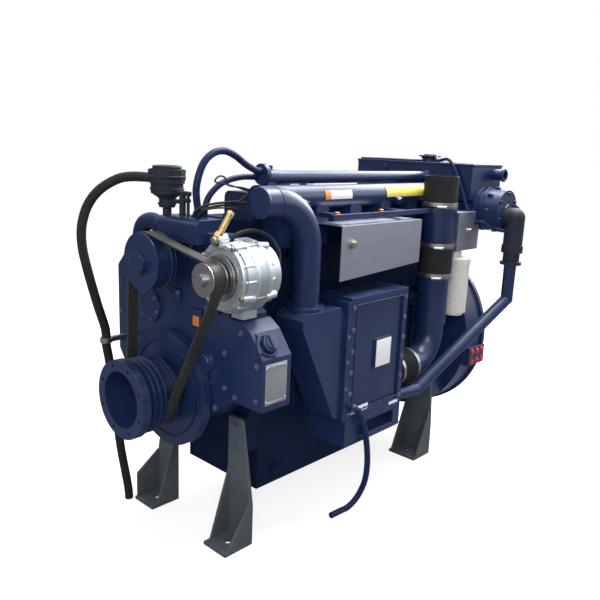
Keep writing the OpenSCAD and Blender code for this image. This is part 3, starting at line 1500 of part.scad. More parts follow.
turbo_y = 190;
turbo_z = 800;
turbo_x0 = 100;
module exhaust_manifold() {
    y = 118;
    z = 722;
    r = 34;
    bore = 26;
    leg_w = 24;
    pad_z = 762;
    color([0.3, 0.3, 0.32]) difference() {
        union() {
            translate([0, y, z]) along_x(r, first_x - 45, last_x + 40);
            for (i = [0:cyl_count - 1]) block3(cyl_x(i) - leg_w, cyl_x(i) + leg_w, head_far, y, z - 20, z + 30);
            block3(turbo_x0 - 4, turbo_x0 + 44, 96, 144, z, pad_z);
        }
        translate([0, y, z]) along_x(bore, first_x - 35, last_x + 30);
        for (i = [0:cyl_count - 1]) translate([cyl_x(i), 0, port_z - 16]) along_y(port_r, head_far - cut, y);
        translate([turbo_x0 + 20, 124, 0]) along_z(16, z, pad_z + cut);
    }
}
module turbocharger() {
    x0 = turbo_x0;
    tr = 56;
    cr = 60;
    color([0.35, 0.34, 0.33]) difference() {
        union() {
            translate([0, turbo_y, turbo_z]) {
                along_x(tr, x0, x0 + 40);
                along_x(28, x0 + 40, x0 + 68);
                along_x(cr, x0 + 68, x0 + 100);
                along_x(34, x0 - 24, x0);
                along_x(36, x0 + 100, x0 + 126);
            }
            block3(x0, x0 + 40, 100, turbo_y, 762, 800);
        }
        translate([0, turbo_y, turbo_z]) {
            along_x(6 + fit, x0 - cut, x0 + 100);
            along_x(42, x0 + 6, x0 + 34);
            along_x(46, x0 + 74, x0 + 96);
            along_x(28, x0 - 25, x0 + 7);
            along_x(30, x0 + 95, x0 + 127);
        }
        translate([x0 + 20, 124, 0]) along_z(16, 761, 790);
        translate([x0 + 20, 0, 782]) along_y(10, 124, turbo_y - 30);
    }
}
module turbo_rotor() {
    x0 = turbo_x0;
    color(steel) translate([0, turbo_y, turbo_z]) {
        along_x(6, x0 + 10, x0 + 92);
        turn_x() polygon([[0, x0 + 8], [12, x0 + 8], [38, x0 + 20], [38, x0 + 32], [0, x0 + 32]]);
        turn_x() polygon([[0, x0 + 76], [42, x0 + 76], [42, x0 + 80], [14, x0 + 94], [0, x0 + 94]]);
    }
}

module starter_motor() {
    y = 205;
    z = 480;
    r = 42;
    x0 = rear_x - 150;
    color(navy) union() {
        translate([0, y, z]) {
            along_x(r, x0, rear_x - 12);
            along_x(r - 8, x0 - 14, x0);
            along_x(r + 6, rear_x - 12, rear_x);
        }
        translate([0, y + 10, z + 62]) along_x(20, x0 + 20, rear_x - 40);
        block3(x0 + 40, rear_x - 50, y - 5, y + 25, z, z + 60);
    }
}

// Bolt heads, each seated on the face that it holds
cover_bolts = [[-180, 504], [-182, 425], [-148, 600], [-120, 690], [-60, 728], [40, 728], [130, 712], [190, 686], [230, 600], [230, 520],
    [228, 440], [175, 350], [-150, 368]];
oil_bolts = [[-232, 560], [-284, 422], [-284, 500], [-216, 412]];
cooler_bolt_z = [300, 355, 410, 465, 520, 575];
module fasteners() {
    s = 6;
    big = 9;
    color(navy) {
        for (p = cover_bolts) at([cover_x0, p[0], p[1]], "-x") bolt(s);
        for (p = oil_bolts) at([oil_x0, p[0], p[1]], "-x") bolt(s);
        for (z = cooler_bolt_z, x = [cooler_x0 + 10, cooler_x1 - 10]) at([x, cooler_y, z], "-y") bolt(s);
        for (z = [371, 439, 505]) at([cooler_x0 - 6, cooler_y, z], "-y") bolt(s - 1);
        for (y = [20 - case_hw, case_hw - 20], z = [front_foot_h - 71, front_foot_h - 18]) at([front_x - ear_out - foot_plate_t, y, z], "-x") bolt(big);
        for (y = [-case_hw, -case_hw - 30, case_hw, case_hw + 30], z = [rear_foot_h - 70, rear_foot_h - 23]) at([rear_x - lug_l - foot_plate_t, y, z], "-x") bolt(big);
        for (i = [0:cyl_count - 1]) at([cyl_x(i), (rocker_y0 + rocker_y1) / 2 + 22, rocker_z1], "+z") bolt(s);
    }
}

engine_block();
cylinder_liners();
main_bearing_caps();
crankshaft();
camshaft();
pistons_1_6();
pistons_2_5();
pistons_3_4();
valve_gear();
cylinder_heads();
rocker_covers();
oil_pan();
gear_case();
gear_cover();
idler_gear();
injection_pump_gear();
crank_pulley();
vibration_damper();
flywheel();
flywheel_housing();
mounting_feet();
drive_belt();
water_pump();
water_pump_pulley();
thermostat_housing();
coolant_hoses();
alternator_housing();
alternator_rotor();
breather();
breather_hose();
intake_manifold();
charge_air_elbow();
cooler_plenum();
charge_cooler();
cooler_core();
cooler_stand();
drain_hose();
charge_pipe_upper();
charge_pipe_lower();
charge_air_hoses();
hose_clamps();
pipe_support_bar();
heat_shields();
raw_water_pipe();
heat_exchanger();
raw_water_outlet();
drain_valve_lever();
header_tank();
tank_filler_cap();
coolant_return_tube();
oil_cooler_housing();
oil_filler_cap();
fuel_filter();
injection_pump();
throttle_lever();
exhaust_manifold();
turbocharger();
turbo_rotor();
starter_motor();
fasteners();
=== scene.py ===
import math

import bmesh
import bpy
from mathutils import Matrix, Vector


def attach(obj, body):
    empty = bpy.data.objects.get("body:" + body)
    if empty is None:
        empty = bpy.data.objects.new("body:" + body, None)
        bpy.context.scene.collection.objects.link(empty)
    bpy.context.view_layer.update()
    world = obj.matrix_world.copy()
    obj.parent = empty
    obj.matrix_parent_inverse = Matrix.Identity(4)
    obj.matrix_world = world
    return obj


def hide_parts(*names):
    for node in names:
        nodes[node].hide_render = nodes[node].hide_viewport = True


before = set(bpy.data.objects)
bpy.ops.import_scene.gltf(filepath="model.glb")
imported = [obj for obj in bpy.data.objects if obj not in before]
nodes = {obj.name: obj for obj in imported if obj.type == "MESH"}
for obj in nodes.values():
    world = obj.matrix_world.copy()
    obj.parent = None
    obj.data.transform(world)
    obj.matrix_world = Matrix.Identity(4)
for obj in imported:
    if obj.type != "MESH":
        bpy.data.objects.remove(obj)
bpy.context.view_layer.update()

scene = bpy.context.scene
scene.view_settings.view_transform = "Standard"
mm = 0.001


# camera, from the straight edges of the engine

# place in metres, then the directions of right, down and ahead in the picture
cameraValues = {
    "place": (-1.350, -1.2466, 0.950),
    "right": (0.6845, -0.7279, 0.0403),
    "down": (-0.1355, -0.1813, -0.9741),
    "ahead": (0.7163, 0.6613, -0.2227),
    "lens": 40.15,
    "sensor": 36,
    "farClip": 60,
}
cameraData = bpy.data.cameras.new("camera")
cameraData.lens = cameraValues["lens"]
cameraData.sensor_width = cameraValues["sensor"]
cameraData.clip_end = cameraValues["farClip"]
camera = bpy.data.objects.new("camera", cameraData)
scene.collection.objects.link(camera)
cameraRows = (cameraValues["right"], -Vector(cameraValues["down"]), -Vector(cameraValues["ahead"]))
turn = Matrix(cameraRows).transposed()
camera.matrix_world = Matrix.Translation(cameraValues["place"]) @ turn.to_quaternion().to_matrix().to_4x4()
scene.camera = camera


# small tools for nodes and meshes

def addNode(tree, kind, place=(0, 0), **settings):
    node = tree.nodes.new(kind)
    node.location = place
    for key, value in settings.items():
        setattr(node, key, value)
    return node


def setInputs(node, **values):
    for key, value in values.items():
        node.inputs[key.replace("_", " ")].default_value = value
    return node


def newGroup(name, inputs, outputs):
    tree = bpy.data.node_groups.new(name, "ShaderNodeTree")
    for label, kind, value in inputs:
        socket = tree.interface.new_socket(name=label, in_out="INPUT", socket_type=kind)
        if value is not None:
            socket.default_value = value
    for label, kind in outputs:
        tree.interface.new_socket(name=label, in_out="OUTPUT", socket_type=kind)
    return tree, addNode(tree, "NodeGroupInput", (-900, 0)), addNode(tree, "NodeGroupOutput", (700, 0))


def buildPatches():
    # soft cloudy mask, fine grain and a speckle mask, all on the coordinates that are passed in
    tree, source, target = newGroup(
        "patches",
        [("Vector", "NodeSocketVector", None), ("Cloud Scale", "NodeSocketFloat", 5.0),
         ("Grain Scale", "NodeSocketFloat", 900.0), ("Speck Scale", "NodeSocketFloat", 90.0)],
        [("Cloud", "NodeSocketFloat"), ("Grain", "NodeSocketFloat"), ("Specks", "NodeSocketFloat")],
    )
    link = tree.links.new
    cloud = setInputs(addNode(tree, "ShaderNodeTexNoise", (-500, 250)), Detail=5.0, Roughness=0.6)
    grain = setInputs(addNode(tree, "ShaderNodeTexNoise", (-500, 0)), Detail=2.0)
    speck = setInputs(addNode(tree, "ShaderNodeTexNoise", (-500, -250)), Detail=6.0, Roughness=0.7)
    for node, label in ((cloud, "Cloud Scale"), (grain, "Grain Scale"), (speck, "Speck Scale")):
        link(source.outputs["Vector"], node.inputs["Vector"])
        link(source.outputs[label], node.inputs["Scale"])
    spread = setInputs(addNode(tree, "ShaderNodeMapRange", (-200, 250)), From_Min=0.3, From_Max=0.7)
    sharp = setInputs(addNode(tree, "ShaderNodeMapRange", (-200, -250)), From_Min=0.58, From_Max=0.70)
    link(cloud.outputs["Fac"], spread.inputs["Value"])
    link(speck.outputs["Fac"], sharp.inputs["Value"])
    link(spread.outputs["Result"], target.inputs["Cloud"])
    link(grain.outputs["Fac"], target.inputs["Grain"])
    link(sharp.outputs["Result"], target.inputs["Specks"])
    return tree


def buildDust():
    # how much a surface faces up, broken by noise: where dust and wiped oil gather
    tree, source, target = newGroup(
        "settledDust",
        [("Vector", "NodeSocketVector", None), ("Scale", "NodeSocketFloat", 14.0),
         ("Reach", "NodeSocketFloat", 0.5)],
        [("Dust", "NodeSocketFloat")],
    )
    link = tree.links.new
    shape = addNode(tree, "ShaderNodeNewGeometry", (-700, 200))
    split = addNode(tree, "ShaderNodeSeparateXYZ", (-500, 200))
    up = setInputs(addNode(tree, "ShaderNodeMapRange", (-300, 200)), From_Min=0.2, From_Max=1.0)
    noise = setInputs(addNode(tree, "ShaderNodeTexNoise", (-500, -100)), Detail=6.0, Roughness=0.65)
    rough = setInputs(addNode(tree, "ShaderNodeMapRange", (-300, -100)), From_Min=0.35, From_Max=0.75)
    both = addNode(tree, "ShaderNodeMath", (-50, 100), operation="MULTIPLY")
    reach = addNode(tree, "ShaderNodeMath", (200, 100), operation="MULTIPLY")
    link(shape.outputs["Normal"], split.inputs["Vector"])
    link(split.outputs["Z"], up.inputs["Value"])
    link(source.outputs["Vector"], noise.inputs["Vector"])
    link(source.outputs["Scale"], noise.inputs["Scale"])
    link(noise.outputs["Fac"], rough.inputs["Value"])
    link(up.outputs["Result"], both.inputs[0])
    link(rough.outputs["Result"], both.inputs[1])
    link(both.outputs["Value"], reach.inputs[0])
    link(source.outputs["Reach"], reach.inputs[1])
    link(reach.outputs["Value"], target.inputs["Dust"])
    return tree


patchGroup = buildPatches()
dustGroup = buildDust()


# depth of the fine grain in metres, fineness of the softened edges, refraction of every surface
surfaceValues = {"grainDepth": 0.0004, "edgeSamples": 4, "ior": 1.5}


def makeFinish(name, base, other, rough, roughOther, metallic=0.0, coat=0.0, coatRough=0.08, cloud=5.0,
               grain=900.0, speck=90.0, speckTint=None, speckShare=0.0, dustTint=(0.20, 0.21, 0.23, 1),
               dust=0.25, bump=0.15, edge=0.0012, gloss=0.5, brush=None):
    # every finish: two tones in clouds, specks, settled dust, fine grain and softened edges
    material = bpy.data.materials.new(name)
    material.use_nodes = True
    tree = material.node_tree
    tree.nodes.clear()
    out = addNode(tree, "ShaderNodeOutputMaterial", (900, 0))
    shader = addNode(tree, "ShaderNodeBsdfPrincipled", (600, 0))
    setInputs(shader, Metallic=metallic, IOR=surfaceValues["ior"])
    shader.inputs["Specular IOR Level"].default_value = gloss
    shader.inputs["Coat Weight"].default_value = coat
    shader.inputs["Coat Roughness"].default_value = coatRough
    place = addNode(tree, "ShaderNodeTexCoord", (-900, 0))
    stretch = addNode(tree, "ShaderNodeMapping", (-700, 0))
    if brush:
        stretch.inputs["Scale"].default_value = brush
    patches = addNode(tree, "ShaderNodeGroup", (-450, 100), node_tree=patchGroup)
    patches.inputs["Cloud Scale"].default_value = cloud
    patches.inputs["Grain Scale"].default_value = grain
    patches.inputs["Speck Scale"].default_value = speck
    settled = addNode(tree, "ShaderNodeGroup", (-450, -250), node_tree=dustGroup)
    settled.inputs["Reach"].default_value = dust
    tones = addNode(tree, "ShaderNodeMix", (-200, 200), data_type="RGBA")
    tones.inputs["A"].default_value = (*base, 1)
    tones.inputs["B"].default_value = (*other, 1)
    specks = addNode(tree, "ShaderNodeMix", (0, 200), data_type="RGBA")
    specks.inputs["B"].default_value = (*(speckTint or other), 1)
    share = addNode(tree, "ShaderNodeMath", (-200, 0), operation="MULTIPLY")
    share.inputs[1].default_value = speckShare
    dusty = addNode(tree, "ShaderNodeMix", (200, 200), data_type="RGBA")
    dusty.inputs["B"].default_value = dustTint
    shine = setInputs(addNode(tree, "ShaderNodeMapRange", (0, -100)), To_Min=rough, To_Max=roughOther)
    dull = addNode(tree, "ShaderNodeMath", (300, -100), operation="ADD", use_clamp=True)
    relief = setInputs(addNode(tree, "ShaderNodeBump", (350, -350)), Strength=bump,
                       Distance=surfaceValues["grainDepth"])
    soft = addNode(tree, "ShaderNodeBevel", (100, -400), samples=surfaceValues["edgeSamples"])
    soft.inputs["Radius"].default_value = edge
    link = tree.links.new
    link(place.outputs["Object"], stretch.inputs["Vector"])
    link(stretch.outputs["Vector"], patches.inputs["Vector"])
    link(place.outputs["Object"], settled.inputs["Vector"])
    link(patches.outputs["Cloud"], tones.inputs["Factor"])
    link(patches.outputs["Specks"], share.inputs[0])
    link(tones.outputs["Result"], specks.inputs["A"])
    link(share.outputs["Value"], specks.inputs["Factor"])
    link(specks.outputs["Result"], dusty.inputs["A"])
    link(settled.outputs["Dust"], dusty.inputs["Factor"])
    link(dusty.outputs["Result"], shader.inputs["Base Color"])
    link(patches.outputs["Cloud"], shine.inputs["Value"])
    link(shine.outputs["Result"], dull.inputs[0])
    link(settled.outputs["Dust"], dull.inputs[1])
    link(dull.outputs["Value"], shader.inputs["Roughness"])
    link(patches.outputs["Grain"], relief.inputs["Height"])
    link(soft.outputs["Normal"], relief.inputs["Normal"])
    link(relief.outputs["Normal"], shader.inputs["Normal"])
    link(shader.outputs["BSDF"], out.inputs["Surface"])
    return material


print("stage: finishes")
# two tones, lowest and highest roughness, then what differs from the usual finish
finishValues = {
    "navyPaint": ((0.008, 0.019, 0.070), (0.013, 0.027, 0.090), 0.26, 0.38, dict(
        coat=0.03, coatRough=0.15, speckTint=(0.004, 0.008, 0.024), speckShare=0.35, dust=0.10,
        dustTint=(0.10, 0.13, 0.20, 1), bump=0.22, cloud=7.0, edge=0.002, gloss=0.46)),
    "navyDark": ((0.005, 0.012, 0.040), (0.008, 0.017, 0.052), 0.36, 0.52, dict(
        speckTint=(0.003, 0.005, 0.012), speckShare=0.5, dust=0.10, dustTint=(0.08, 0.10, 0.14, 1),
        bump=0.5, grain=420.0, edge=0.002, gloss=0.06)),
    "footPaint": ((0.062, 0.078, 0.088), (0.094, 0.112, 0.124), 0.42, 0.62, dict(
        gloss=0.3, speckTint=(0.012, 0.016, 0.017), speckShare=0.6, dust=0.3, bump=0.3, cloud=9.0)),
    "blackRubber": ((0.014, 0.014, 0.016), (0.026, 0.027, 0.030), 0.50, 0.68, dict(
        dust=0.12, gloss=0.12, bump=0.35, grain=600.0, speckTint=(0.06, 0.06, 0.06), speckShare=0.12)),
    # bolt heads: the lighter second tone and the pale specks are painted highlights
    "boltHighlightPaint": ((0.030, 0.048, 0.120), (0.100, 0.125, 0.210), 0.26, 0.42, dict(
        speckTint=(0.30, 0.32, 0.36), speckShare=0.5, speck=260.0, dust=0.10, bump=0.2, cloud=40.0,
        edge=0.0006, gloss=0.5)),
    "beltRubber": ((0.022, 0.025, 0.022), (0.040, 0.045, 0.040), 0.38, 0.52, dict(
        dust=0.2, dustTint=(0.16, 0.18, 0.15, 1), gloss=0.45, bump=0.3, grain=600.0,
        speckTint=(0.10, 0.10, 0.09), speckShare=0.2)),
    "blueHose": ((0.009, 0.018, 0.062), (0.014, 0.026, 0.080), 0.30, 0.42, dict(
        dust=0.08, gloss=0.12, bump=0.2)),
    "blackPlastic": ((0.018, 0.022, 0.034), (0.028, 0.033, 0.046), 0.36, 0.5, dict(
        dust=0.15, gloss=0.12, bump=0.3)),
    "castAluminium": ((0.60, 0.66, 0.70), (0.50, 0.55, 0.59), 0.34, 0.5, dict(
        metallic=0.85, dust=0.1, bump=0.6, grain=700.0, speckTint=(0.22, 0.22, 0.22), speckShare=0.35)),
    "shieldSteel": ((0.46, 0.49, 0.60), (0.38, 0.41, 0.51), 0.32, 0.44, dict(
        metallic=0.9, dust=0.06, bump=0.25, grain=80.0, brush=(1.0, 1.0, 14.0),
        speckTint=(0.22, 0.22, 0.25), speckShare=0.2)),
    "bareSteel": ((0.45, 0.45, 0.46), (0.30, 0.30, 0.31), 0.28, 0.44, dict(
        metallic=0.95, dust=0.08, speckTint=(0.14, 0.11, 0.09), speckShare=0.3, bump=0.2)),
    "zincSteel": ((0.46, 0.42, 0.30), (0.40, 0.38, 0.34), 0.26, 0.40, dict(
        metallic=0.95, dust=0.05, speckTint=(0.25, 0.2, 0.12), speckShare=0.25, bump=0.1)),
    "castIron": ((0.06, 0.058, 0.056), (0.10, 0.095, 0.09), 0.5, 0.7, dict(
        metallic=0.4, dust=0.2, bump=0.8, grain=500.0, speckTint=(0.13, 0.07, 0.04), speckShare=0.35)),
    "brass": ((0.62, 0.48, 0.22), (0.46, 0.36, 0.18), 0.26, 0.4, dict(
        metallic=1.0, dust=0.05, bump=0.15, speckTint=(0.26, 0.16, 0.06), speckShare=0.3)),
    "filterPaint": ((0.62, 0.61, 0.57), (0.54, 0.53, 0.49), 0.30, 0.42, dict(
        coat=0.3, dust=0.2, bump=0.15, speckTint=(0.3, 0.28, 0.24), speckShare=0.25)),
    "plateSteel": ((0.50, 0.52, 0.55), (0.38, 0.40, 0.43), 0.28, 0.42, dict(
        metallic=0.8, dust=0.05, bump=0.12, speckTint=(0.2, 0.2, 0.22), speckShare=0.3)),
    "yellowFilm": ((0.86, 0.70, 0.12), (0.80, 0.64, 0.14), 0.35, 0.5, dict(dust=0.06, bump=0.05)),
    "whiteFilm": ((0.74, 0.75, 0.77), (0.66, 0.67, 0.70), 0.35, 0.5, dict(
        dust=0.06, bump=0.05, speckTint=(0.4, 0.4, 0.42), speckShare=0.2)),
    "orangeFilm": ((0.72, 0.24, 0.05), (0.66, 0.21, 0.06), 0.35, 0.5, dict(dust=0.06, bump=0.05)),
    "redPlug": ((0.48, 0.030, 0.022), (0.38, 0.024, 0.020), 0.34, 0.46, dict(dust=0.12, bump=0.15)),
    "orangeTag": ((0.74, 0.20, 0.03), (0.62, 0.17, 0.03), 0.4, 0.55, dict(dust=0.08, bump=0.2)),
    "copper": ((0.62, 0.25, 0.12), (0.50, 0.20, 0.10), 0.28, 0.42, dict(
        metallic=0.95, dust=0.05, bump=0.1)),
}
finishes = {name: makeFinish(name, *tones, **others) for name, (*tones, others) in finishValues.items()}


def aim(start, end):
    # turns +Z to the way from start to end
    return (Vector(end) - Vector(start)).to_track_quat("Z", "Y").to_matrix().to_4x4()


def addRod(bm, start, end, radius, endRadius=None, segments=32):
    start, end = Vector(start), Vector(end)
    place = Matrix.Translation((start + end) / 2) @ aim(start, end)
    endRadius = radius if endRadius is None else endRadius
    bmesh.ops.create_cone(bm, cap_ends=True, segments=segments, radius1=radius, radius2=endRadius,
                          depth=(end - start).length, matrix=place)


def addBlock(bm, low, high, bevel):
    low, high = Vector(low), Vector(high)
    size = high - low
    place = Matrix.Translation((low + high) / 2) @ Matrix.Diagonal((size.x, size.y, size.z, 1))
    verts = bmesh.ops.create_cube(bm, size=1, matrix=place)["verts"]
    edges = list(dict.fromkeys(edge for vert in verts for edge in vert.link_edges))
    bmesh.ops.bevel(bm, geom=edges, offset=bevel, offset_type="OFFSET", segments=3, profile=0.5,
                    affect="EDGES", material=-1, clamp_overlap=True)


def addBolt(bm, seat, way, size):
    # hexagon head with a turned chamfer on a washer, all in shares of the size
    seat, way = Vector(seat), Vector(way).normalized()
    base = seat + way * size * 0.18
    addRod(bm, seat, base, size * 1.15, segments=28)
    addRod(bm, base, base + way * size * 0.62, size * 0.98, segments=6)
    addRod(bm, base + way * size * 0.62, base + way * size * 0.72, size * 0.9, size * 0.74, segments=24)


def addLathe(bm, profile, origin, way, segments=64):
    # profile is (along, radius) pairs from the origin along the way
    origin, way = Vector(origin), Vector(way).normalized()
    side = way.orthogonal().normalized()
    verts = [bm.verts.new(origin + way * along + side * radius) for along, radius in profile]
    edges = [bm.edges.new(pair) for pair in zip(verts, verts[1:])]
    bmesh.ops.spin(bm, geom=verts + edges, cent=origin, axis=way, angle=2 * math.pi, steps=segments,
                   use_merge=True)


def declare(piece, replaces):
    # every added piece is fixed to the engine's body
    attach(piece, "engine")
    if replaces:
        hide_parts(*replaces)


def finishPiece(name, bm, finish, smooth=35, replaces=(), merge=0.001):
    # pieces are drawn in millimetres and come out in metres
    bmesh.ops.remove_doubles(bm, verts=bm.verts, dist=merge)
    bmesh.ops.recalc_face_normals(bm, faces=bm.faces)
    bmesh.ops.scale(bm, vec=(mm, mm, mm), verts=bm.verts)
    mesh = bpy.data.meshes.new(name)
    bm.to_mesh(mesh)
    bm.free()
    piece = bpy.data.objects.new(name, mesh)
    scene.collection.objects.link(piece)
    mesh.materials.append(finishes[finish])
    for face in mesh.polygons:
        face.use_smooth = True
    mesh.set_sharp_from_angle(angle=math.radians(smooth))
    declare(piece, replaces)


def splinePoints(points, steps):
    # smooth line through the points; its two ends run straight, square to the pieces they meet
    places = [Vector(point) * mm for point in points]
    line = []
    for index in range(len(places) - 1):
        before, start = places[max(index - 1, 0)], places[index]
        end, after = places[index + 1], places[min(index + 2, len(places) - 1)]
        if index in (0, len(places) - 2):
            line += [start.lerp(end, step / steps) for step in range(steps)]
            continue
        for step in range(steps):
            t = step / steps
            line.append(start + (end - before) / 2 * t
                        + (before * 2 - start * 5 + end * 4 - after) / 2 * t * t
                        + (start * 3 - before - end * 3 + after) / 2 * t ** 3)
    return line + [places[-1]]


def makeTube(name, points, radius, finish, steps=8, replaces=(), sides=4):
    # gives the piece, its length and the points of its line, in metres
    line = splinePoints(points, steps)
    data = bpy.data.curves.new(name, "CURVE")
    data.dimensions = "3D"
    data.bevel_depth = radius * mm
    data.bevel_resolution = sides
    data.use_fill_caps = True
    spline = data.splines.new("POLY")
    spline.points.add(len(line) - 1)
    for point, place in zip(spline.points, line):
        point.co = (*place, 1)
    spline.use_smooth = True
    data.materials.append(finishes[finish])
    piece = bpy.data.objects.new(name, data)
    scene.collection.objects.link(piece)
    declare(piece, replaces)
    return piece, sum((b - a).length for a, b in zip(line, line[1:])), line


# the two hoses that hang free

print("stage: free hoses")
breatherHoseValues = {
    "radius": 11,
    "route": [
        (-476, 43.3, 871), (-490, 67.5, 871), (-512, 100, 864), (-540, 132, 838), (-556, 158, 802),
        (-565, 172, 755), (-564, 176, 707), (-554, 176, 655), (-532, 175, 570), (-512, 175, 505),
        (-508, 175, 480), (-508, 175, 455), (-498, 177, 400), (-482, 183, 290), (-466, 189, 170),
        (-444, 196, 60), (-437, 199, 20), (-436, 199, 3)],
}
breatherHose, breatherLength, breatherLine = makeTube(
    "breatherHose", breatherHoseValues["route"], breatherHoseValues["radius"], "blackRubber",
    replaces=("breather_hose",), sides=8)
drainHoseValues = {
    "radius": 8,
    "route": [
        (-85, -288, 312), (-77, -288, 306), (-50, -288, 258), (-30, -286, 200), (-15, -281, 140),
        (-10, -273, 85), (-22, -262, 40), (-46, -252, 14), (-75, -246, 9), (-110, -244, 9)],
}
drainHose, drainLength, drainLine = makeTube(
    "drainHose", drainHoseValues["route"], drainHoseValues["radius"], "blueHose",
    replaces=("drain_hose",), sides=8)


# coolant hoses, held at both ends

coolantHoseValues = {
    "coolantHoseA": (8, [
        (-435, -90, 790), (-435, -90, 806), (-440, -90, 855), (-424, -90, 903), (-397, -90, 928),
        (-365, -90, 935), (-332, -90, 926), (-295, -90, 905), (-262, -90, 892), (-247, -90, 892)]),
    "coolantHoseB": (7, [
        (-402, -72, 790), (-402, -72, 806), (-390, -72, 835), (-360, -72, 860), (-325, -72, 872),
        (-290, -72, 877), (-262, -72, 877), (-247, -72, 877)]),
    "coolantHoseC": (20, [
        (-451, 10, 764), (-451, 26, 764), (-451, 62, 770), (-451, 92, 758), (-451, 104, 728),
        (-451, 94, 700), (-451, 76, 688), (-451, 62, 688)]),
}
for name, (radius, points) in coolantHoseValues.items():
    makeTube(name, points, radius, "blueHose", replaces=("coolant_hoses",), sides=8)


# finishes on the CAD nodes

print("stage: finishes on the frame")
nodeFinish = {
    "navyPaint": [
        "rocker_covers", "gear_case", "gear_cover", "crank_pulley", "flywheel_housing", "water_pump",
        "water_pump_pulley", "thermostat_housing", "intake_manifold", "charge_air_elbow", "cooler_plenum",
        "charge_cooler", "cooler_stand", "charge_pipe_upper", "charge_pipe_lower", "pipe_support_bar",
        "raw_water_pipe", "heat_exchanger", "header_tank", "coolant_return_tube", "oil_cooler_housing",
        "injection_pump", "starter_motor", "vibration_damper", "oil_filler_cap"],
    # the fasteners get painted highlights on their heads
    "boltHighlightPaint": ["fasteners"],
    "navyDark": ["engine_block", "cylinder_heads", "oil_pan"],
    "footPaint": ["mounting_feet"],
    "blackRubber": ["charge_air_hoses", "drive_belt"],
    "blackPlastic": ["tank_filler_cap", "drain_valve_lever", "breather", "raw_water_outlet"],
    "castAluminium": ["alternator_housing", "pistons_1_6", "pistons_2_5", "pistons_3_4"],
    "shieldSteel": ["heat_shields"],
    "bareSteel": [
        "hose_clamps", "crankshaft", "camshaft", "valve_gear", "idler_gear", "injection_pump_gear",
        "cooler_core", "alternator_rotor", "throttle_lever", "turbo_rotor", "flywheel"],
    "castIron": ["cylinder_liners", "main_bearing_caps", "exhaust_manifold", "turbocharger"],
    "filterPaint": ["fuel_filter"],
}
for finish, names in nodeFinish.items():
    for name in names:
        for socket in nodes[name].material_slots:
            socket.material = finishes[finish]


# drive belt

print("stage: drive belt")
beltValues = {
    "axes": [(0, 380), (0, 688), (-212, 682)], "radii": [73.3, 62.3, 30.3], "front": -514, "width": 28,
    "thickness": 5.5, "ribs": 7, "ribDepth": 2.2, "chamfer": 0.8, "steps": 28,
}


def tangentAngle(i, j):
    # direction of the outer tangent point from one pulley to the next
    (y0, z0), (y1, z1) = beltValues["axes"][i], beltValues["axes"][j]
    r0, r1 = beltValues["radii"][i], beltValues["radii"][j]
    return math.atan2(z1 - z0, y1 - y0) - math.acos((r0 - r1) / math.hypot(y1 - y0, z1 - z0))


def rimPoint(i, angle, extra=0.0, x=0.0):
    (y0, z0), radius = beltValues["axes"][i], beltValues["radii"][i] + extra
    return Vector((x, y0 + radius * math.cos(angle), z0 + radius * math.sin(angle)))


belt = bmesh.new()
firstAngle = tangentAngle(2, 0)
ribPitch = beltValues["width"] / beltValues["ribs"]
chamfer, ribDepth, thickness = beltValues["chamfer"], beltValues["ribDepth"], beltValues["thickness"]
beltFront, beltBack = beltValues["front"], beltValues["front"] + beltValues["width"]
beltSection = [(beltFront + chamfer, thickness), (beltFront, thickness - chamfer)]
for rib in range(beltValues["ribs"]):
    left = beltFront + rib * ribPitch
    beltSection += [(left + 0.25, ribDepth), (left + ribPitch * 0.36, 0),
                    (left + ribPitch * 0.64, 0), (left + ribPitch - 0.25, ribDepth)]
beltSection += [(beltBack, thickness - chamfer), (beltBack - chamfer, thickness)]
ring = [belt.verts.new(rimPoint(0, firstAngle, extra, x)) for x, extra in beltSection]
ringEdges = [belt.edges.new(pair) for pair in zip(ring, ring[1:] + ring[:1])]
for i in range(3):
    start, stop = tangentAngle((i + 2) % 3, i), tangentAngle(i, (i + 1) % 3)
    while stop < start:
        stop += 2 * math.pi
    spun = bmesh.ops.spin(belt, geom=ring + ringEdges, cent=(0, *beltValues["axes"][i]), axis=(1, 0, 0),
                          angle=stop - start, steps=beltValues["steps"])["geom_last"]
    ring = [item for item in spun if isinstance(item, bmesh.types.BMVert)]
    ringEdges = [item for item in spun if isinstance(item, bmesh.types.BMEdge)]
    shift = rimPoint((i + 1) % 3, stop) - rimPoint(i, stop)
    pushed = bmesh.ops.extrude_edge_only(belt, edges=ringEdges)["geom"]
    ring = [item for item in pushed if isinstance(item, bmesh.types.BMVert)]
    ringEdges = [item for item in pushed if isinstance(item, bmesh.types.BMEdge)
                 and all(vert in set(ring) for vert in item.verts)]
    bmesh.ops.translate(belt, vec=shift, verts=ring)
finishPiece("ribbedBelt", belt, "beltRubber", replaces=("drive_belt",), merge=0.02)


# alternator

print("stage: alternator")
# ribRuns and earRuns give the distance from the axis and the x at both ends of each stretch
alternatorValues = {
    "y": -212, "z": 682, "front": -472, "back": -362, "ribs": 14, "ribRadius": 3.2, "bands": (-441, -407),
    "ribRuns": [((62, -470.5), (73.5, -462)), ((73.5, -462), (73.6, -440)),
                ((73.6, -398), (73.4, -392)), ((73.4, -392), (64, -380))],
    "earRuns": [((72, -468), (75, -440)), ((75, -408), (72, -378))],
    "earTurn": 0.5, "earRadius": 8.5, "lugFace": -486, "lugBack": -462, "lugZ": 760,
    "sheets": 12, "sheetStart": -430.2, "sheetPitch": 1.95,
}
ay, az = alternatorValues["y"], alternatorValues["z"]
alternatorBack = alternatorValues["back"]
alongX = Vector((1, 0, 0))
earAngles = [alternatorValues["earTurn"] + quarter * math.pi / 2 for quarter in range(4)]
earStart = alternatorValues["earRuns"][0][0]
lugFace, lugBack, lugZ = (alternatorValues[key] for key in ("lugFace", "lugBack", "lugZ"))


def aroundAlternator(angle, radius, x):
    return Vector((x, ay + radius * math.cos(angle), az + radius * math.sin(angle)))


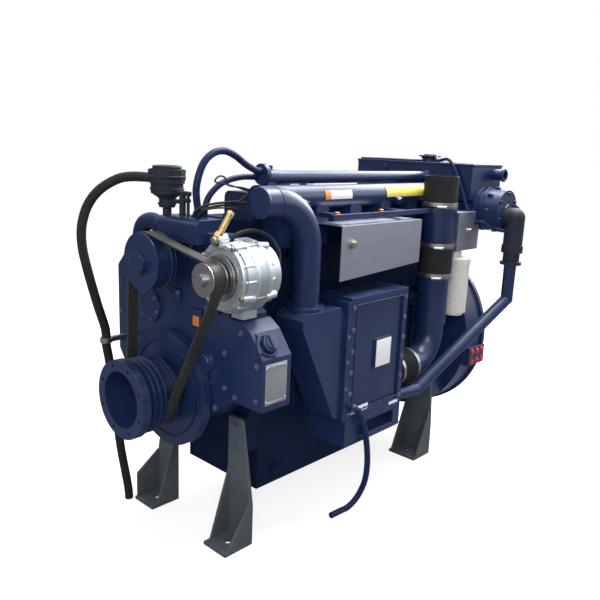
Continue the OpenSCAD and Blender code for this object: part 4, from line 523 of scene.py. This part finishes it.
castings = bmesh.new()
for rib in range(alternatorValues["ribs"]):
    angle = 2 * math.pi * rib / alternatorValues["ribs"]
    for start, end in alternatorValues["ribRuns"]:
        addRod(castings, aroundAlternator(angle, *start), aroundAlternator(angle, *end),
               alternatorValues["ribRadius"], segments=12)
noseProfile = [(0, 60), (0, 69.5), (2, 71.5), (6, 71.5), (7, 70)]
addLathe(castings, noseProfile, (alternatorValues["front"], ay, az), alongX)
for x in alternatorValues["bands"]:
    addLathe(castings, [(0, 74), (0, 77), (1.5, 78), (9, 78), (10.5, 77), (10.5, 74)], (x, ay, az), alongX)
for angle in earAngles:
    for start, end in alternatorValues["earRuns"]:
        addRod(castings, aroundAlternator(angle, *start), aroundAlternator(angle, *end),
               alternatorValues["earRadius"], segments=24)
addBlock(castings, (lugFace, ay - 14, lugZ - 16), (lugBack, ay + 14, lugZ + 2), 4)
addRod(castings, (lugFace, ay, lugZ), (lugBack, ay, lugZ), 13, segments=32)
finishPiece("alternatorCastings", castings, "castAluminium")

laminations = bmesh.new()
for sheet in range(alternatorValues["sheets"]):
    x = alternatorValues["sheetStart"] + sheet * alternatorValues["sheetPitch"]
    addLathe(laminations, [(0, 74), (0, 76.4), (1.3, 76.4), (1.3, 74)], (x, ay, az), alongX, 48)
finishPiece("alternatorLaminations", laminations, "castAluminium")

bindings = bmesh.new()
for angle in earAngles:
    addRod(bindings, aroundAlternator(angle, 77, -440), aroundAlternator(angle, 77, -408), 2.6, segments=16)
    addBolt(bindings, aroundAlternator(angle, *earStart), (-1, 0, 0), 6)
addBolt(bindings, (lugFace, ay, lugZ), (-1, 0, 0), 9)
addRod(bindings, (alternatorBack, -250, 690), (alternatorBack + 10, -250, 690), 3, segments=16)
addBolt(bindings, (alternatorBack + 6, -250, 690), (1, 0, 0), 5)
finishPiece("alternatorBolts", bindings, "zincSteel")

backCover = bmesh.new()
addLathe(backCover, [(0, 66), (0, 58), (7, 54), (9, 50), (9, 0.01)], (alternatorBack, ay, az), alongX)
addBlock(backCover, (alternatorBack, -262, 652), (alternatorBack + 16, -240, 700), 2)
finishPiece("alternatorBackCover", backCover, "blackPlastic")

tensionValues = {
    "low": (-480, 768), "high": (-449, 812), "ridges": 17, "firstRidge": (-478, 771), "ridgeRun": (28.4, 40),
}
tensionRod = bmesh.new()
(lowX, lowZ), (highX, highZ) = tensionValues["low"], tensionValues["high"]
(ridgeX, ridgeZ), (runX, runZ) = tensionValues["firstRidge"], tensionValues["ridgeRun"]
tensionWay = Vector((highX - lowX, 0, highZ - lowZ)).normalized()
addRod(tensionRod, (lowX, ay, lowZ), (highX, ay, highZ), 6.5, segments=32)
for ridge in range(tensionValues["ridges"]):
    share = ridge / (tensionValues["ridges"] - 1)
    place = Vector((ridgeX + runX * share, ay, ridgeZ + runZ * share))
    addRod(tensionRod, place - tensionWay * 0.8, place + tensionWay * 0.8, 7.6, 6.9, segments=28)
addRod(tensionRod, (lowX - 2, ay, lowZ - 3), (lowX + 3.5, ay, lowZ + 5), 11, segments=6)
addRod(tensionRod, (highX - 2, ay, highZ - 3), (highX + 2.5, ay, highZ + 3.5), 9, 8, segments=6)
finishPiece("tensionRod", tensionRod, "brass")

postValues = {
    "x": -348, "y": -251, "low": 652, "high": 706, "radius": 3.8, "nutRadius": 6.5,
    "nuts": ((690, 700), (656, 664)),
}
postX, postY = postValues["x"], postValues["y"]
terminalPost = bmesh.new()
postSpans = [(postValues["low"], postValues["high"], postValues["radius"], 24)]
postSpans += [(nutLow, nutHigh, postValues["nutRadius"], 6) for nutLow, nutHigh in postValues["nuts"]]
for low, high, radius, segments in postSpans:
    addRod(terminalPost, (postX, postY, low), (postX, postY, high), radius, segments=segments)
finishPiece("terminalPost", terminalPost, "brass")

plate = bmesh.new()
addBlock(plate, (-424, ay - 21, 757.2), (-398, ay + 7, 758.2), 0.3)
finishPiece("alternatorBlankLabel", plate, "plateSteel")


# front of the engine

print("stage: front")
frontValues = {
    "face": -430, "crank": (0, 380), "boss": (-118, 470), "flange": (95, 560), "flangeBolts": 6,
    "flangeTurn": 0.3, "flangeBoltCircle": 34, "plateFace": -301.4, "fillerRing": (-402, -281, 540),
    "fillerTilt": (50, 38), "fillerKnobs": 4, "fillerTurn": 0.4,
}
coverFace, boss, flange = frontValues["face"], frontValues["boss"], frontValues["flange"]
forward = (-1, 0, 0)
bosses = bmesh.new()
sealProfile = [(0, 60), (0, 52), (2, 50), (6, 49), (6, 36), (4, 34.5)]
addLathe(bosses, sealProfile, (coverFace, *frontValues["crank"]), forward, 96)
addBlock(bosses, (coverFace - 6, -104, 540), (coverFace, -66, 586), 2)
addBlock(bosses, (coverFace - 3.5, -150, 420), (coverFace, -60, 430), 1)
addRod(bosses, (coverFace, *boss), (coverFace - 8, *boss), 26, 23, segments=64)
addRod(bosses, (coverFace - 8, *boss), (coverFace - 11, *boss), 17, 15, segments=48)
addRod(bosses, (coverFace, *flange), (coverFace - 7, *flange), 42, 40, segments=64)
addBlock(bosses, (coverFace - 14, -170, 590), (coverFace, -128, 640), 4)
addRod(bosses, (coverFace - 7, -160, 640), (coverFace - 7, -176, 668), 9, segments=24)
addBlock(bosses, (coverFace - 6, -26, 590), (coverFace, 26, 620), 2)
finishPiece("coverBosses", bosses, "navyPaint")
flangeCircle = frontValues["flangeBoltCircle"]
frontBolts = bmesh.new()
for k in range(frontValues["flangeBolts"]):
    turnBy = 2 * math.pi * k / frontValues["flangeBolts"] + frontValues["flangeTurn"]
    y, z = flange[0] + flangeCircle * math.cos(turnBy), flange[1] + flangeCircle * math.sin(turnBy)
    addBolt(frontBolts, (coverFace - 7, y, z), forward, 4.2)
for y, z in ((-136, 600), (-162, 600), (-136, 630)):
    addBolt(frontBolts, (coverFace - 14, y, z), forward, 5.5)
for y, z in ((-20, 612), (20, 612)):
    addBolt(frontBolts, (coverFace - 6, y, z), forward, 5)
# these bolt heads carry painted highlights
finishPiece("coverBossBolts", frontBolts, "boltHighlightPaint")
tag = bmesh.new()
addBlock(tag, (coverFace - 7.2, -98, 547), (coverFace - 6.2, -76, 570), 0.3)
finishPiece("liftTag", tag, "orangeTag")

plateFace = frontValues["plateFace"]
plate = bmesh.new()
addBlock(plate, (-422, plateFace - 0.2, 414), (-358, -300, 504), 0.4)
for low, high in ((493, 500), (418, 420)):
    addBlock(plate, (-418, plateFace - 0.7, low), (-362, plateFace, high), 0.2)
for x in (-418.5, -361.5):
    for z in (422, 496):
        addRod(plate, (x, plateFace, z), (x, plateFace - 1.6, z), 2.4, 1.4, segments=16)
finishPiece("blankNamePlate", plate, "plateSteel")

capRing = bmesh.new()
capPlace = Vector(frontValues["fillerRing"])
capAngle = math.atan2(*frontValues["fillerTilt"])
capTilt = Vector((0, -math.sin(capAngle), math.cos(capAngle)))
addLathe(capRing, [(-3, 20), (-3, 27), (3, 27), (4.5, 25.5), (4.5, 21.5), (3, 20.8)], capPlace, capTilt, 72)
for k in range(frontValues["fillerKnobs"]):
    turnBy = 2 * math.pi * k / frontValues["fillerKnobs"] + frontValues["fillerTurn"]
    side = alongX * math.cos(turnBy) + capTilt.cross(alongX) * math.sin(turnBy)
    addRod(capRing, capPlace + side * 27 - capTilt * 3, capPlace + side * 27 + capTilt * 3, 6, segments=20)
finishPiece("fillerRing", capRing, "navyPaint")


# labels and plates, all blank

print("stage: blank labels")


def addCurvedPatch(bm, axis, radius, x0, x1, angle0, angle1, thickness=0.5):
    # a film wrapped on a tube that runs along X
    y, z = axis[0] + radius * math.cos(angle0), axis[1] + radius * math.sin(angle0)
    low = [bm.verts.new((x, y, z)) for x in (x0, x1)]
    edge = bm.edges.new(low)
    bmesh.ops.spin(bm, geom=low + [edge], cent=(0, *axis), axis=(1, 0, 0), angle=angle1 - angle0, steps=12)
    bmesh.ops.solidify(bm, geom=list(bm.faces), thickness=thickness)


manifoldValues = {"axis": (-146, 833), "filmRadius": 29.7, "front": -315.5, "back": 410}
# each film's finish, its run along X and its angles round the tube
labelValues = {
    "yellowBlankLabel": ("yellowFilm", (138, 330), (2.30, 3.30)),
    "whiteBlankLabel": ("whiteFilm", (-92, -10), (2.55, 3.30)),
    "orangeBlankLabel": ("orangeFilm", (-113, -92), (2.55, 3.30)),
}
for name, (finish, span, angles) in labelValues.items():
    film = bmesh.new()
    addCurvedPatch(film, manifoldValues["axis"], manifoldValues["filmRadius"], *span, *angles)
    finishPiece(name, film, finish, smooth=50)

plate = bmesh.new()
addBlock(plate, (-4, -278.4, 404), (58, -276.9, 476), 0.4)
finishPiece("blankCoolerPlate", plate, "whiteFilm")
films = bmesh.new()
addBlock(films, (-92, -276, 297), (-24, -275.2, 313), 0.1)
addBlock(films, (72, -276, 280), (112, -275.2, 288), 0.1)
finishPiece("blankFilms", films, "whiteFilm")


# intake side

print("stage: intake side")
cylinderValues = {"first": -243, "pitch": 130, "count": 6}
firstCylinder, cylinderPitch = cylinderValues["first"], cylinderValues["pitch"]
cylinderPlaces = [firstCylinder + cylinderPitch * k for k in range(cylinderValues["count"])]
intake = bmesh.new()
for x in (-188, 185):
    addRod(intake, (x, -170, 824), (x, -184, 818), 9, segments=24)
    addRod(intake, (x, -184, 818), (x, -189, 816), 11, segments=6)
for x, profile in ((manifoldValues["front"], [(0, 29), (0, 31), (4, 31), (5, 30), (5, 29)]),
                   (manifoldValues["back"], [(0, 29), (0, 31.5), (6, 31.5), (6, 29)])):
    addLathe(intake, profile, (x, *manifoldValues["axis"]), alongX)
for x in cylinderPlaces[:-1]:
    addRod(intake, (x, -172, 788), (x, -166, 788), 6, segments=6)
finishPiece("manifoldPlugs", intake, "navyPaint")
elbowValues = {"lip": -371, "seam": -329, "axis": (-215, 831), "radius": 33}
elbowLip = bmesh.new()
for x, profile in ((elbowValues["lip"], [(0, -1.8), (0, -0.4), (1.2, 0.8), (3.4, 0.8), (4.6, 0)]),
                   (elbowValues["seam"], [(0, 0), (0.8, 1.2), (2.4, 1.4), (3.6, 0)])):
    profile = [(along, elbowValues["radius"] + proud) for along, proud in profile]
    addLathe(elbowLip, profile, (x, *elbowValues["axis"]), alongX, 96)
finishPiece("elbowLip", elbowLip, "navyPaint")

weldValues = {"front": -92, "back": 104.5, "low": 300, "high": 579, "stitches": 9, "stitchPitch": 21}
weldLow, weldHigh = weldValues["low"], weldValues["high"]
seams = bmesh.new()
for z in (weldLow, weldHigh):
    addBlock(seams, (weldValues["front"], -277, z), (weldValues["back"] + 1.5, -275, z + 3), 0.6)
for x in (weldValues["front"], weldValues["back"]):
    addBlock(seams, (x, -277, weldLow + 3), (x + 2.4, -275, weldHigh), 0.6)
for k in range(weldValues["stitches"]):
    x = weldValues["front"] + 6 + weldValues["stitchPitch"] * k
    addBlock(seams, (x, -276.6, weldLow + 3), (x + 13, -274.8, weldLow + 5.2), 0.7)
finishPiece("coolerWelds", seams, "navyPaint")

barBolts = bmesh.new()
for x in (-133, 41, 300):
    addBolt(barBolts, (x, -230, 798), (0, 0, 1), 7)
finishPiece("barBolts", barBolts, "copper")
shieldBolts = bmesh.new()
for place, size in (((-96, -252, 728), 10), ((440, -264, 728), 8)):
    addBolt(shieldBolts, place, (0, -1, 0), size)
finishPiece("shieldBolts", shieldBolts, "zincSteel")

clampValues = {"x": 320, "y": -230, "heights": (803, 688.5, 602), "radius": 49.6, "way": (-0.80, -0.60, 0),
               "slots": 26, "firstSlot": 0.22, "slotPitch": 0.052}
clampX, clampY, clampRadius = clampValues["x"], clampValues["y"], clampValues["radius"]
way = Vector(clampValues["way"])
side = Vector((-way.y, way.x, 0))
slotHalf = Vector((0, 0, 4))
screws = bmesh.new()
for z in clampValues["heights"]:
    centre = Vector((clampX, clampY, z)) + way * (clampRadius + 3.5)
    addRod(screws, centre - side * 12, centre + side * 12, 4.6, segments=20)
    addRod(screws, centre + side * 12, centre + side * 15, 5.8, segments=6)
    for k in range(clampValues["slots"]):
        turnBy = math.atan2(way.y, way.x) + clampValues["firstSlot"] + k * clampValues["slotPitch"]
        x, y = clampX + clampRadius * math.cos(turnBy), clampY + clampRadius * math.sin(turnBy)
        place = Vector((x, y, z))
        addRod(screws, place - slotHalf, place + slotHalf, 0.7, segments=8)
finishPiece("clampScrews", screws, "bareSteel")


# small hoses and wiring

print("stage: small hoses and wiring")
wireValues = {
    "ventHose": (5, [
        (540, -58, 934), (520, -76, 938), (496, -96, 936), (470, -118, 926), (455, -160, 932),
        (450, -184, 915), (449, -215, 860), (450, -240, 800), (451, -252, 778)]),
    "heatExchangerLoop": (5.5, [
        (470, -262, 752), (466, -285, 756), (474, -300, 748), (488, -318, 738), (512, -340, 733),
        (548, -354, 740), (580, -356, 760), (592, -344, 784), (592, -330, 800), (590, -316, 804)]),
    "alternatorLead": (4.2, [
        (-455, -222, 753), (-450, -224, 765), (-438, -225, 772), (-412, -226, 777), (-379, -227, 773),
        (-350, -232, 757), (-338, -244, 730), (-340, -250, 706), (-347, -251, 700)]),
    "harnessA": (3.0, [
        (-455, -96, 792), (-450, -98, 806), (-430, -101, 817), (-398, -104, 822), (-360, -106, 824),
        (-330, -108, 826), (-300, -108, 845)]),
    "harnessB": (2.6, [
        (-452, -88, 792), (-444, -92, 802), (-420, -96, 811), (-390, -101, 816), (-356, -105, 818),
        (-320, -103, 820), (-298, -100, 822)]),
    "harnessC": (2.2, [
        (-446, -100, 792), (-436, -104, 806), (-410, -108, 812), (-372, -112, 812), (-340, -112, 806),
        (-318, -106, 786), (-302, -102, 778)]),
    "lockWire": (2.0, [
        (-300, -112, 850), (-330, -117, 856), (-372, -120, 861), (-380, -120, 868), (-386, -120, 879),
        (-401, -120, 882), (-414, -120, 872), (-400, -120, 867), (-372, -119, 863), (-330, -116, 853),
        (-300, -111, 846)]),
}
for name, (radius, points) in wireValues.items():
    finish = "blueHose" if name in ("ventHose", "heatExchangerLoop") else "blackRubber"
    makeTube(name, points, radius, finish, steps=6, sides=3)

breatherValues = {"x": -451, "bracketX": -443, "bolts": 8, "boltCircle": 37.5, "boltTurn": 0.2}
bracketX = breatherValues["bracketX"]
bracket = bmesh.new()
addRod(bracket, (bracketX, -46, 789), (bracketX, -46, 840), 7.5, segments=24)
addRod(bracket, (bracketX, -66, 789), (bracketX, -66, 846), 3.6, segments=20)
addBlock(bracket, (bracketX - 6, -72, 836), (bracketX + 6, -38, 846), 2.5)
addRod(bracket, (bracketX - 8, -30, 842), (bracketX, -62, 842), 3.6, segments=20)
addRod(bracket, (bracketX, -54, 826), (bracketX, -70, 826), 5, segments=20)
finishPiece("breatherBracket", bracket, "blackPlastic")

# height, fineness and profile of each turned ring
rimValues = [
    (872, 96, [(0, 35), (0, 41), (1, 42), (4, 42), (5, 41), (5, 35)]),
    (845, 96, [(0, 30), (0, 37), (1, 38), (4, 38), (5, 37), (5, 30)]),
    (838, 96, [(-13, 18), (-8, 23), (0, 35.5), (0, 30)]),
    (812, 64, [(0, 15), (0, 20.5), (5, 20.5), (5, 15)]),
    (895, 96, [(0, 30), (0, 33), (3, 31.5), (4.5, 20), (4.5, 0.01)]),
]
lidCircle = breatherValues["boltCircle"]
lid = bmesh.new()
for k in range(breatherValues["bolts"]):
    turnBy = 2 * math.pi * k / breatherValues["bolts"] + breatherValues["boltTurn"]
    x, y = breatherValues["x"] + lidCircle * math.cos(turnBy), lidCircle * math.sin(turnBy)
    addRod(lid, (x, y, 866), (x, y, 886), 3.6, segments=18)
    addRod(lid, (x, y, 886), (x, y, 889), 4.6, segments=6)
for z, segments, profile in rimValues:
    addLathe(lid, profile, (breatherValues["x"], 0, z), (0, 0, 1), segments)
finishPiece("breatherRims", lid, "blackPlastic")


# flywheel end

print("stage: flywheel end")
padValues = {"face": -279.5, "columns": (503, 533, 563), "rows": (314, 344)}
padFace = padValues["face"]
plugs = bmesh.new()
for x in padValues["columns"]:
    for z in padValues["rows"]:
        addRod(plugs, (x, padFace, z), (x, padFace - 4.5, z), 9.5, 8.5, segments=28)
        addRod(plugs, (x, padFace - 4.5, z), (x, padFace - 7.5, z), 5, 4, segments=20)
finishPiece("portPlugs", plugs, "redPlug")

exchangerValues = {"x": 540, "z": 790, "face": -327}
# count, circle and first angle of the cover's bolts and of its lugs
exchangerRings = {"bolts": (6, 50, 0.5), "lugs": (8, 62, 0)}
coverX, coverZ, coverY = exchangerValues["x"], exchangerValues["z"], exchangerValues["face"]


def aroundCover(count, circle, firstTurn):
    turns = [2 * math.pi * k / count + firstTurn for k in range(count)]
    return [(coverX + circle * math.cos(turnBy), coverZ + circle * math.sin(turnBy)) for turnBy in turns]


exchangerBolts = bmesh.new()
for x, z in aroundCover(*exchangerRings["bolts"]):
    addBolt(exchangerBolts, (x, coverY, z), (0, -1, 0), 5)
addRod(exchangerBolts, (coverX, coverY, coverZ), (coverX, coverY - 4, coverZ), 20, 18, segments=6)
addBlock(exchangerBolts, (coverX - 16, coverY - 6, coverZ - 6), (coverX + 16, coverY - 3, coverZ + 6), 1)
for x, z in aroundCover(*exchangerRings["lugs"]):
    addBlock(exchangerBolts, (x - 5, -300, z - 5), (x + 5, -284, z + 5), 2)
finishPiece("exchangerBolts", exchangerBolts, "navyPaint")

# the tank's outline at its seam
tankValues = {"front": 458, "back": 642, "left": -247, "right": 185, "low": 913, "high": 921, "rim": 4}
tankFront, tankBack, tankLeft, tankRight = (tankValues[side] for side in ("front", "back", "left", "right"))
rim = tankValues["rim"]
rims = bmesh.new()
for x0, x1, y0, y1 in ((tankFront, tankBack, tankLeft, tankLeft + rim),
                       (tankFront, tankBack, tankRight - rim, tankRight),
                       (tankFront, tankFront + rim, tankLeft, tankRight),
                       (tankBack - rim, tankBack, tankLeft, tankRight)):
    addBlock(rims, (x0, y0, tankValues["low"]), (x1, y1, tankValues["high"]), 1.2)
addBlock(rims, (474, 40, 919), (560, 160, 923), 1.5)
addLathe(rims, [(0, 26), (0, 34), (1, 35), (4, 35), (5, 34), (5, 26)], (540, -45, 936), (0, 0, 1), 64)
addLathe(rims, [(0, 16), (0, 19), (1, 20.2), (5, 20.2), (6, 19), (6, 16)], (590, -283, 891), (0, 1, 0), 48)
finishPiece("tankRims", rims, "navyPaint")


# exhaust side

print("stage: exhaust side")
injectionValues = {"radius": 3, "pumpX": -290, "pumpPitch": 30, "pumpY": 131, "pumpZ": 632}
pumpY, pumpZ = injectionValues["pumpY"], injectionValues["pumpZ"]
for i, headX in enumerate(cylinderPlaces):
    pumpX = injectionValues["pumpX"] + injectionValues["pumpPitch"] * i
    makeTube("injectionLine%d" % (i + 1),
             [(pumpX, pumpY, pumpZ), (pumpX, pumpY, pumpZ + 23), (pumpX + 8, pumpY - 9, pumpZ + 40),
              (pumpX * 0.5 + headX * 0.5, 96 + 3 * i, 690 + 3 * i),
              (headX - 40, 92, 756), (headX - 36, 74, 776), (headX - 34, 60, 772)],
             injectionValues["radius"], "bareSteel", steps=5, sides=2)

bossValues = {"z": 560, "radius": 19, "depth": 5, "right": 79, "left": -114}
bossZ, bossDepth, bossRadius = bossValues["z"], bossValues["depth"], bossValues["radius"]
blockBosses = bmesh.new()
for headX in cylinderPlaces[:-1]:
    x = headX + cylinderPitch / 2
    for y, depth in ((bossValues["right"], bossDepth), (bossValues["left"], -bossDepth)):
        addRod(blockBosses, (x, y, bossZ), (x, y + depth, bossZ), bossRadius, bossRadius - 1, segments=40)
for x in cylinderPlaces:
    addBlock(blockBosses, (x + 58, 149, 305), (x + 70, 158, 500), 3)
    addBlock(blockBosses, (x + 58, -158, 305), (x + 70, -149, 500), 3)
finishPiece("blockBosses", blockBosses, "navyDark")


# floor, sky and lights

print("stage: studio")
studioValues = {
    "floorSize": 14.0, "floorDrop": 0.0005, "floorColour": (0.36, 0.36, 0.37, 1), "floorRough": 0.9,
    "floorGlow": 0.8, "mirroredFloor": (0.06, 0.06, 0.062, 1), "mirrored": 0.1, "world": 0.42,
    "worldTint": (0.93, 0.95, 1.0, 1), "skyLow": 0.2, "skyHigh": 1.7, "skyFrom": 0.05, "skyTo": 0.85,
}


def seenBy(tree, height=None):
    # 1 for the camera and for rays through glass, less in reflections, 0 where light is only passed on
    link = tree.links.new
    paths = addNode(tree, "ShaderNodeLightPath")
    mirrored = addNode(tree, "ShaderNodeMath", operation="MULTIPLY")
    mirrored.inputs[1].default_value = studioValues["mirrored"]
    if height:
        link(height, mirrored.inputs[1])
    straight = addNode(tree, "ShaderNodeMath", operation="MAXIMUM")
    seen = addNode(tree, "ShaderNodeMath", operation="MAXIMUM")
    link(paths.outputs["Is Glossy Ray"], mirrored.inputs[0])
    link(paths.outputs["Is Camera Ray"], straight.inputs[0])
    link(paths.outputs["Is Transmission Ray"], straight.inputs[1])
    link(straight.outputs["Value"], seen.inputs[0])
    link(mirrored.outputs["Value"], seen.inputs[1])
    return seen.outputs["Value"]


floorMesh = bmesh.new()
floorPlace = Matrix.Translation((0, 0, -studioValues["floorDrop"]))
bmesh.ops.create_grid(floorMesh, x_segments=1, y_segments=1, size=studioValues["floorSize"],
                      matrix=floorPlace)
floorData = bpy.data.meshes.new("floor")
floorMesh.to_mesh(floorData)
floorMesh.free()
floor = bpy.data.objects.new("floor", floorData)
scene.collection.objects.link(floor)
floorFinish = bpy.data.materials.new("floorFinish")
floorFinish.use_nodes = True
floorTree = floorFinish.node_tree
floorShader = floorTree.nodes["Principled BSDF"]
floorPaths = addNode(floorTree, "ShaderNodeLightPath")
floorTone = addNode(floorTree, "ShaderNodeMix", data_type="RGBA")
floorTone.inputs["A"].default_value = studioValues["floorColour"]
floorTone.inputs["B"].default_value = studioValues["mirroredFloor"]
floorTree.links.new(floorPaths.outputs["Is Glossy Ray"], floorTone.inputs["Factor"])
floorTree.links.new(floorTone.outputs["Result"], floorShader.inputs["Base Color"])
floorShader.inputs["Roughness"].default_value = studioValues["floorRough"]
floorGlow = addNode(floorTree, "ShaderNodeEmission")
floorLevel = addNode(floorTree, "ShaderNodeMath", operation="MULTIPLY")
floorLevel.inputs[1].default_value = studioValues["floorGlow"]
floorTree.links.new(seenBy(floorTree), floorLevel.inputs[0])
floorTree.links.new(floorLevel.outputs["Value"], floorGlow.inputs["Strength"])
floorSum = addNode(floorTree, "ShaderNodeAddShader")
floorTree.links.new(floorShader.outputs["BSDF"], floorSum.inputs[0])
floorTree.links.new(floorGlow.outputs["Emission"], floorSum.inputs[1])
floorTree.links.new(floorSum.outputs["Shader"], floorTree.nodes["Material Output"].inputs["Surface"])
floorData.materials.append(floorFinish)

world = bpy.data.worlds.new("studio")
scene.world = world
world.use_nodes = True
worldTree = world.node_tree
skyDim = worldTree.nodes["Background"]
skyDim.inputs["Color"].default_value = studioValues["worldTint"]
skyDim.inputs["Strength"].default_value = studioValues["world"]
skyWhite = addNode(worldTree, "ShaderNodeBackground")
skyWhite.inputs["Color"].default_value = (1, 1, 1, 1)
skyPlace = addNode(worldTree, "ShaderNodeTexCoord")
skySplit = addNode(worldTree, "ShaderNodeSeparateXYZ")
skyHeight = setInputs(addNode(worldTree, "ShaderNodeMapRange"),
                      From_Min=studioValues["skyFrom"], From_Max=studioValues["skyTo"],
                      To_Min=studioValues["skyLow"], To_Max=studioValues["skyHigh"])
worldTree.links.new(skyPlace.outputs["Generated"], skySplit.inputs["Vector"])
worldTree.links.new(skySplit.outputs["Z"], skyHeight.inputs["Value"])
skySeen = seenBy(worldTree, skyHeight.outputs["Result"])
worldTree.links.new(skySeen, skyWhite.inputs["Strength"])
skyMix = addNode(worldTree, "ShaderNodeMixShader")
skySeenAtAll = addNode(worldTree, "ShaderNodeMath", operation="GREATER_THAN")
skySeenAtAll.inputs[1].default_value = 0.01
worldTree.links.new(skySeen, skySeenAtAll.inputs[0])
worldTree.links.new(skySeenAtAll.outputs["Value"], skyMix.inputs["Fac"])
worldTree.links.new(skyDim.outputs["Background"], skyMix.inputs[1])
worldTree.links.new(skyWhite.outputs["Background"], skyMix.inputs[2])
worldTree.links.new(skyMix.outputs["Shader"], worldTree.nodes["World Output"].inputs["Surface"])


# place, target, size, power and tint of each lamp
lampValues = {
    "keyLamp": ((-2.5, -2.3, 2.0), (0, 0, 0.5), (1.7, 1.5), 45, (1, 1, 1)),
    "sideLamp": ((-3.2, -0.2, 1.5), (0, 0, 0.5), (1.6, 2.2), 18, (0.93, 0.96, 1.0)),
    "topLamp": ((1.0, -0.2, 3.3), (0, 0, 0.6), (2.2, 1.6), 210, (1, 1, 1)),
    "rimLamp": ((3.2, 0.1, 2.3), (0, -0.1, 0.7), (2.4, 1.8), 130, (1, 1, 1)),
    "rightLamp": ((2.6, -2.2, 1.6), (0.4, -0.2, 0.6), (1.2, 1.6), 14, (1, 1, 1)),
}
for name, (place, target, size, power, tint) in lampValues.items():
    data = bpy.data.lights.new(name, "AREA")
    data.shape = "RECTANGLE"
    data.size, data.size_y = size
    data.energy = power
    data.color = tint
    lamp = bpy.data.objects.new(name, data)
    scene.collection.objects.link(lamp)
    lampTurn = (Vector(target) - Vector(place)).to_track_quat("-Z", "Y").to_matrix().to_4x4()
    lamp.matrix_world = Matrix.Translation(place) @ lampTurn


print("stage: done")
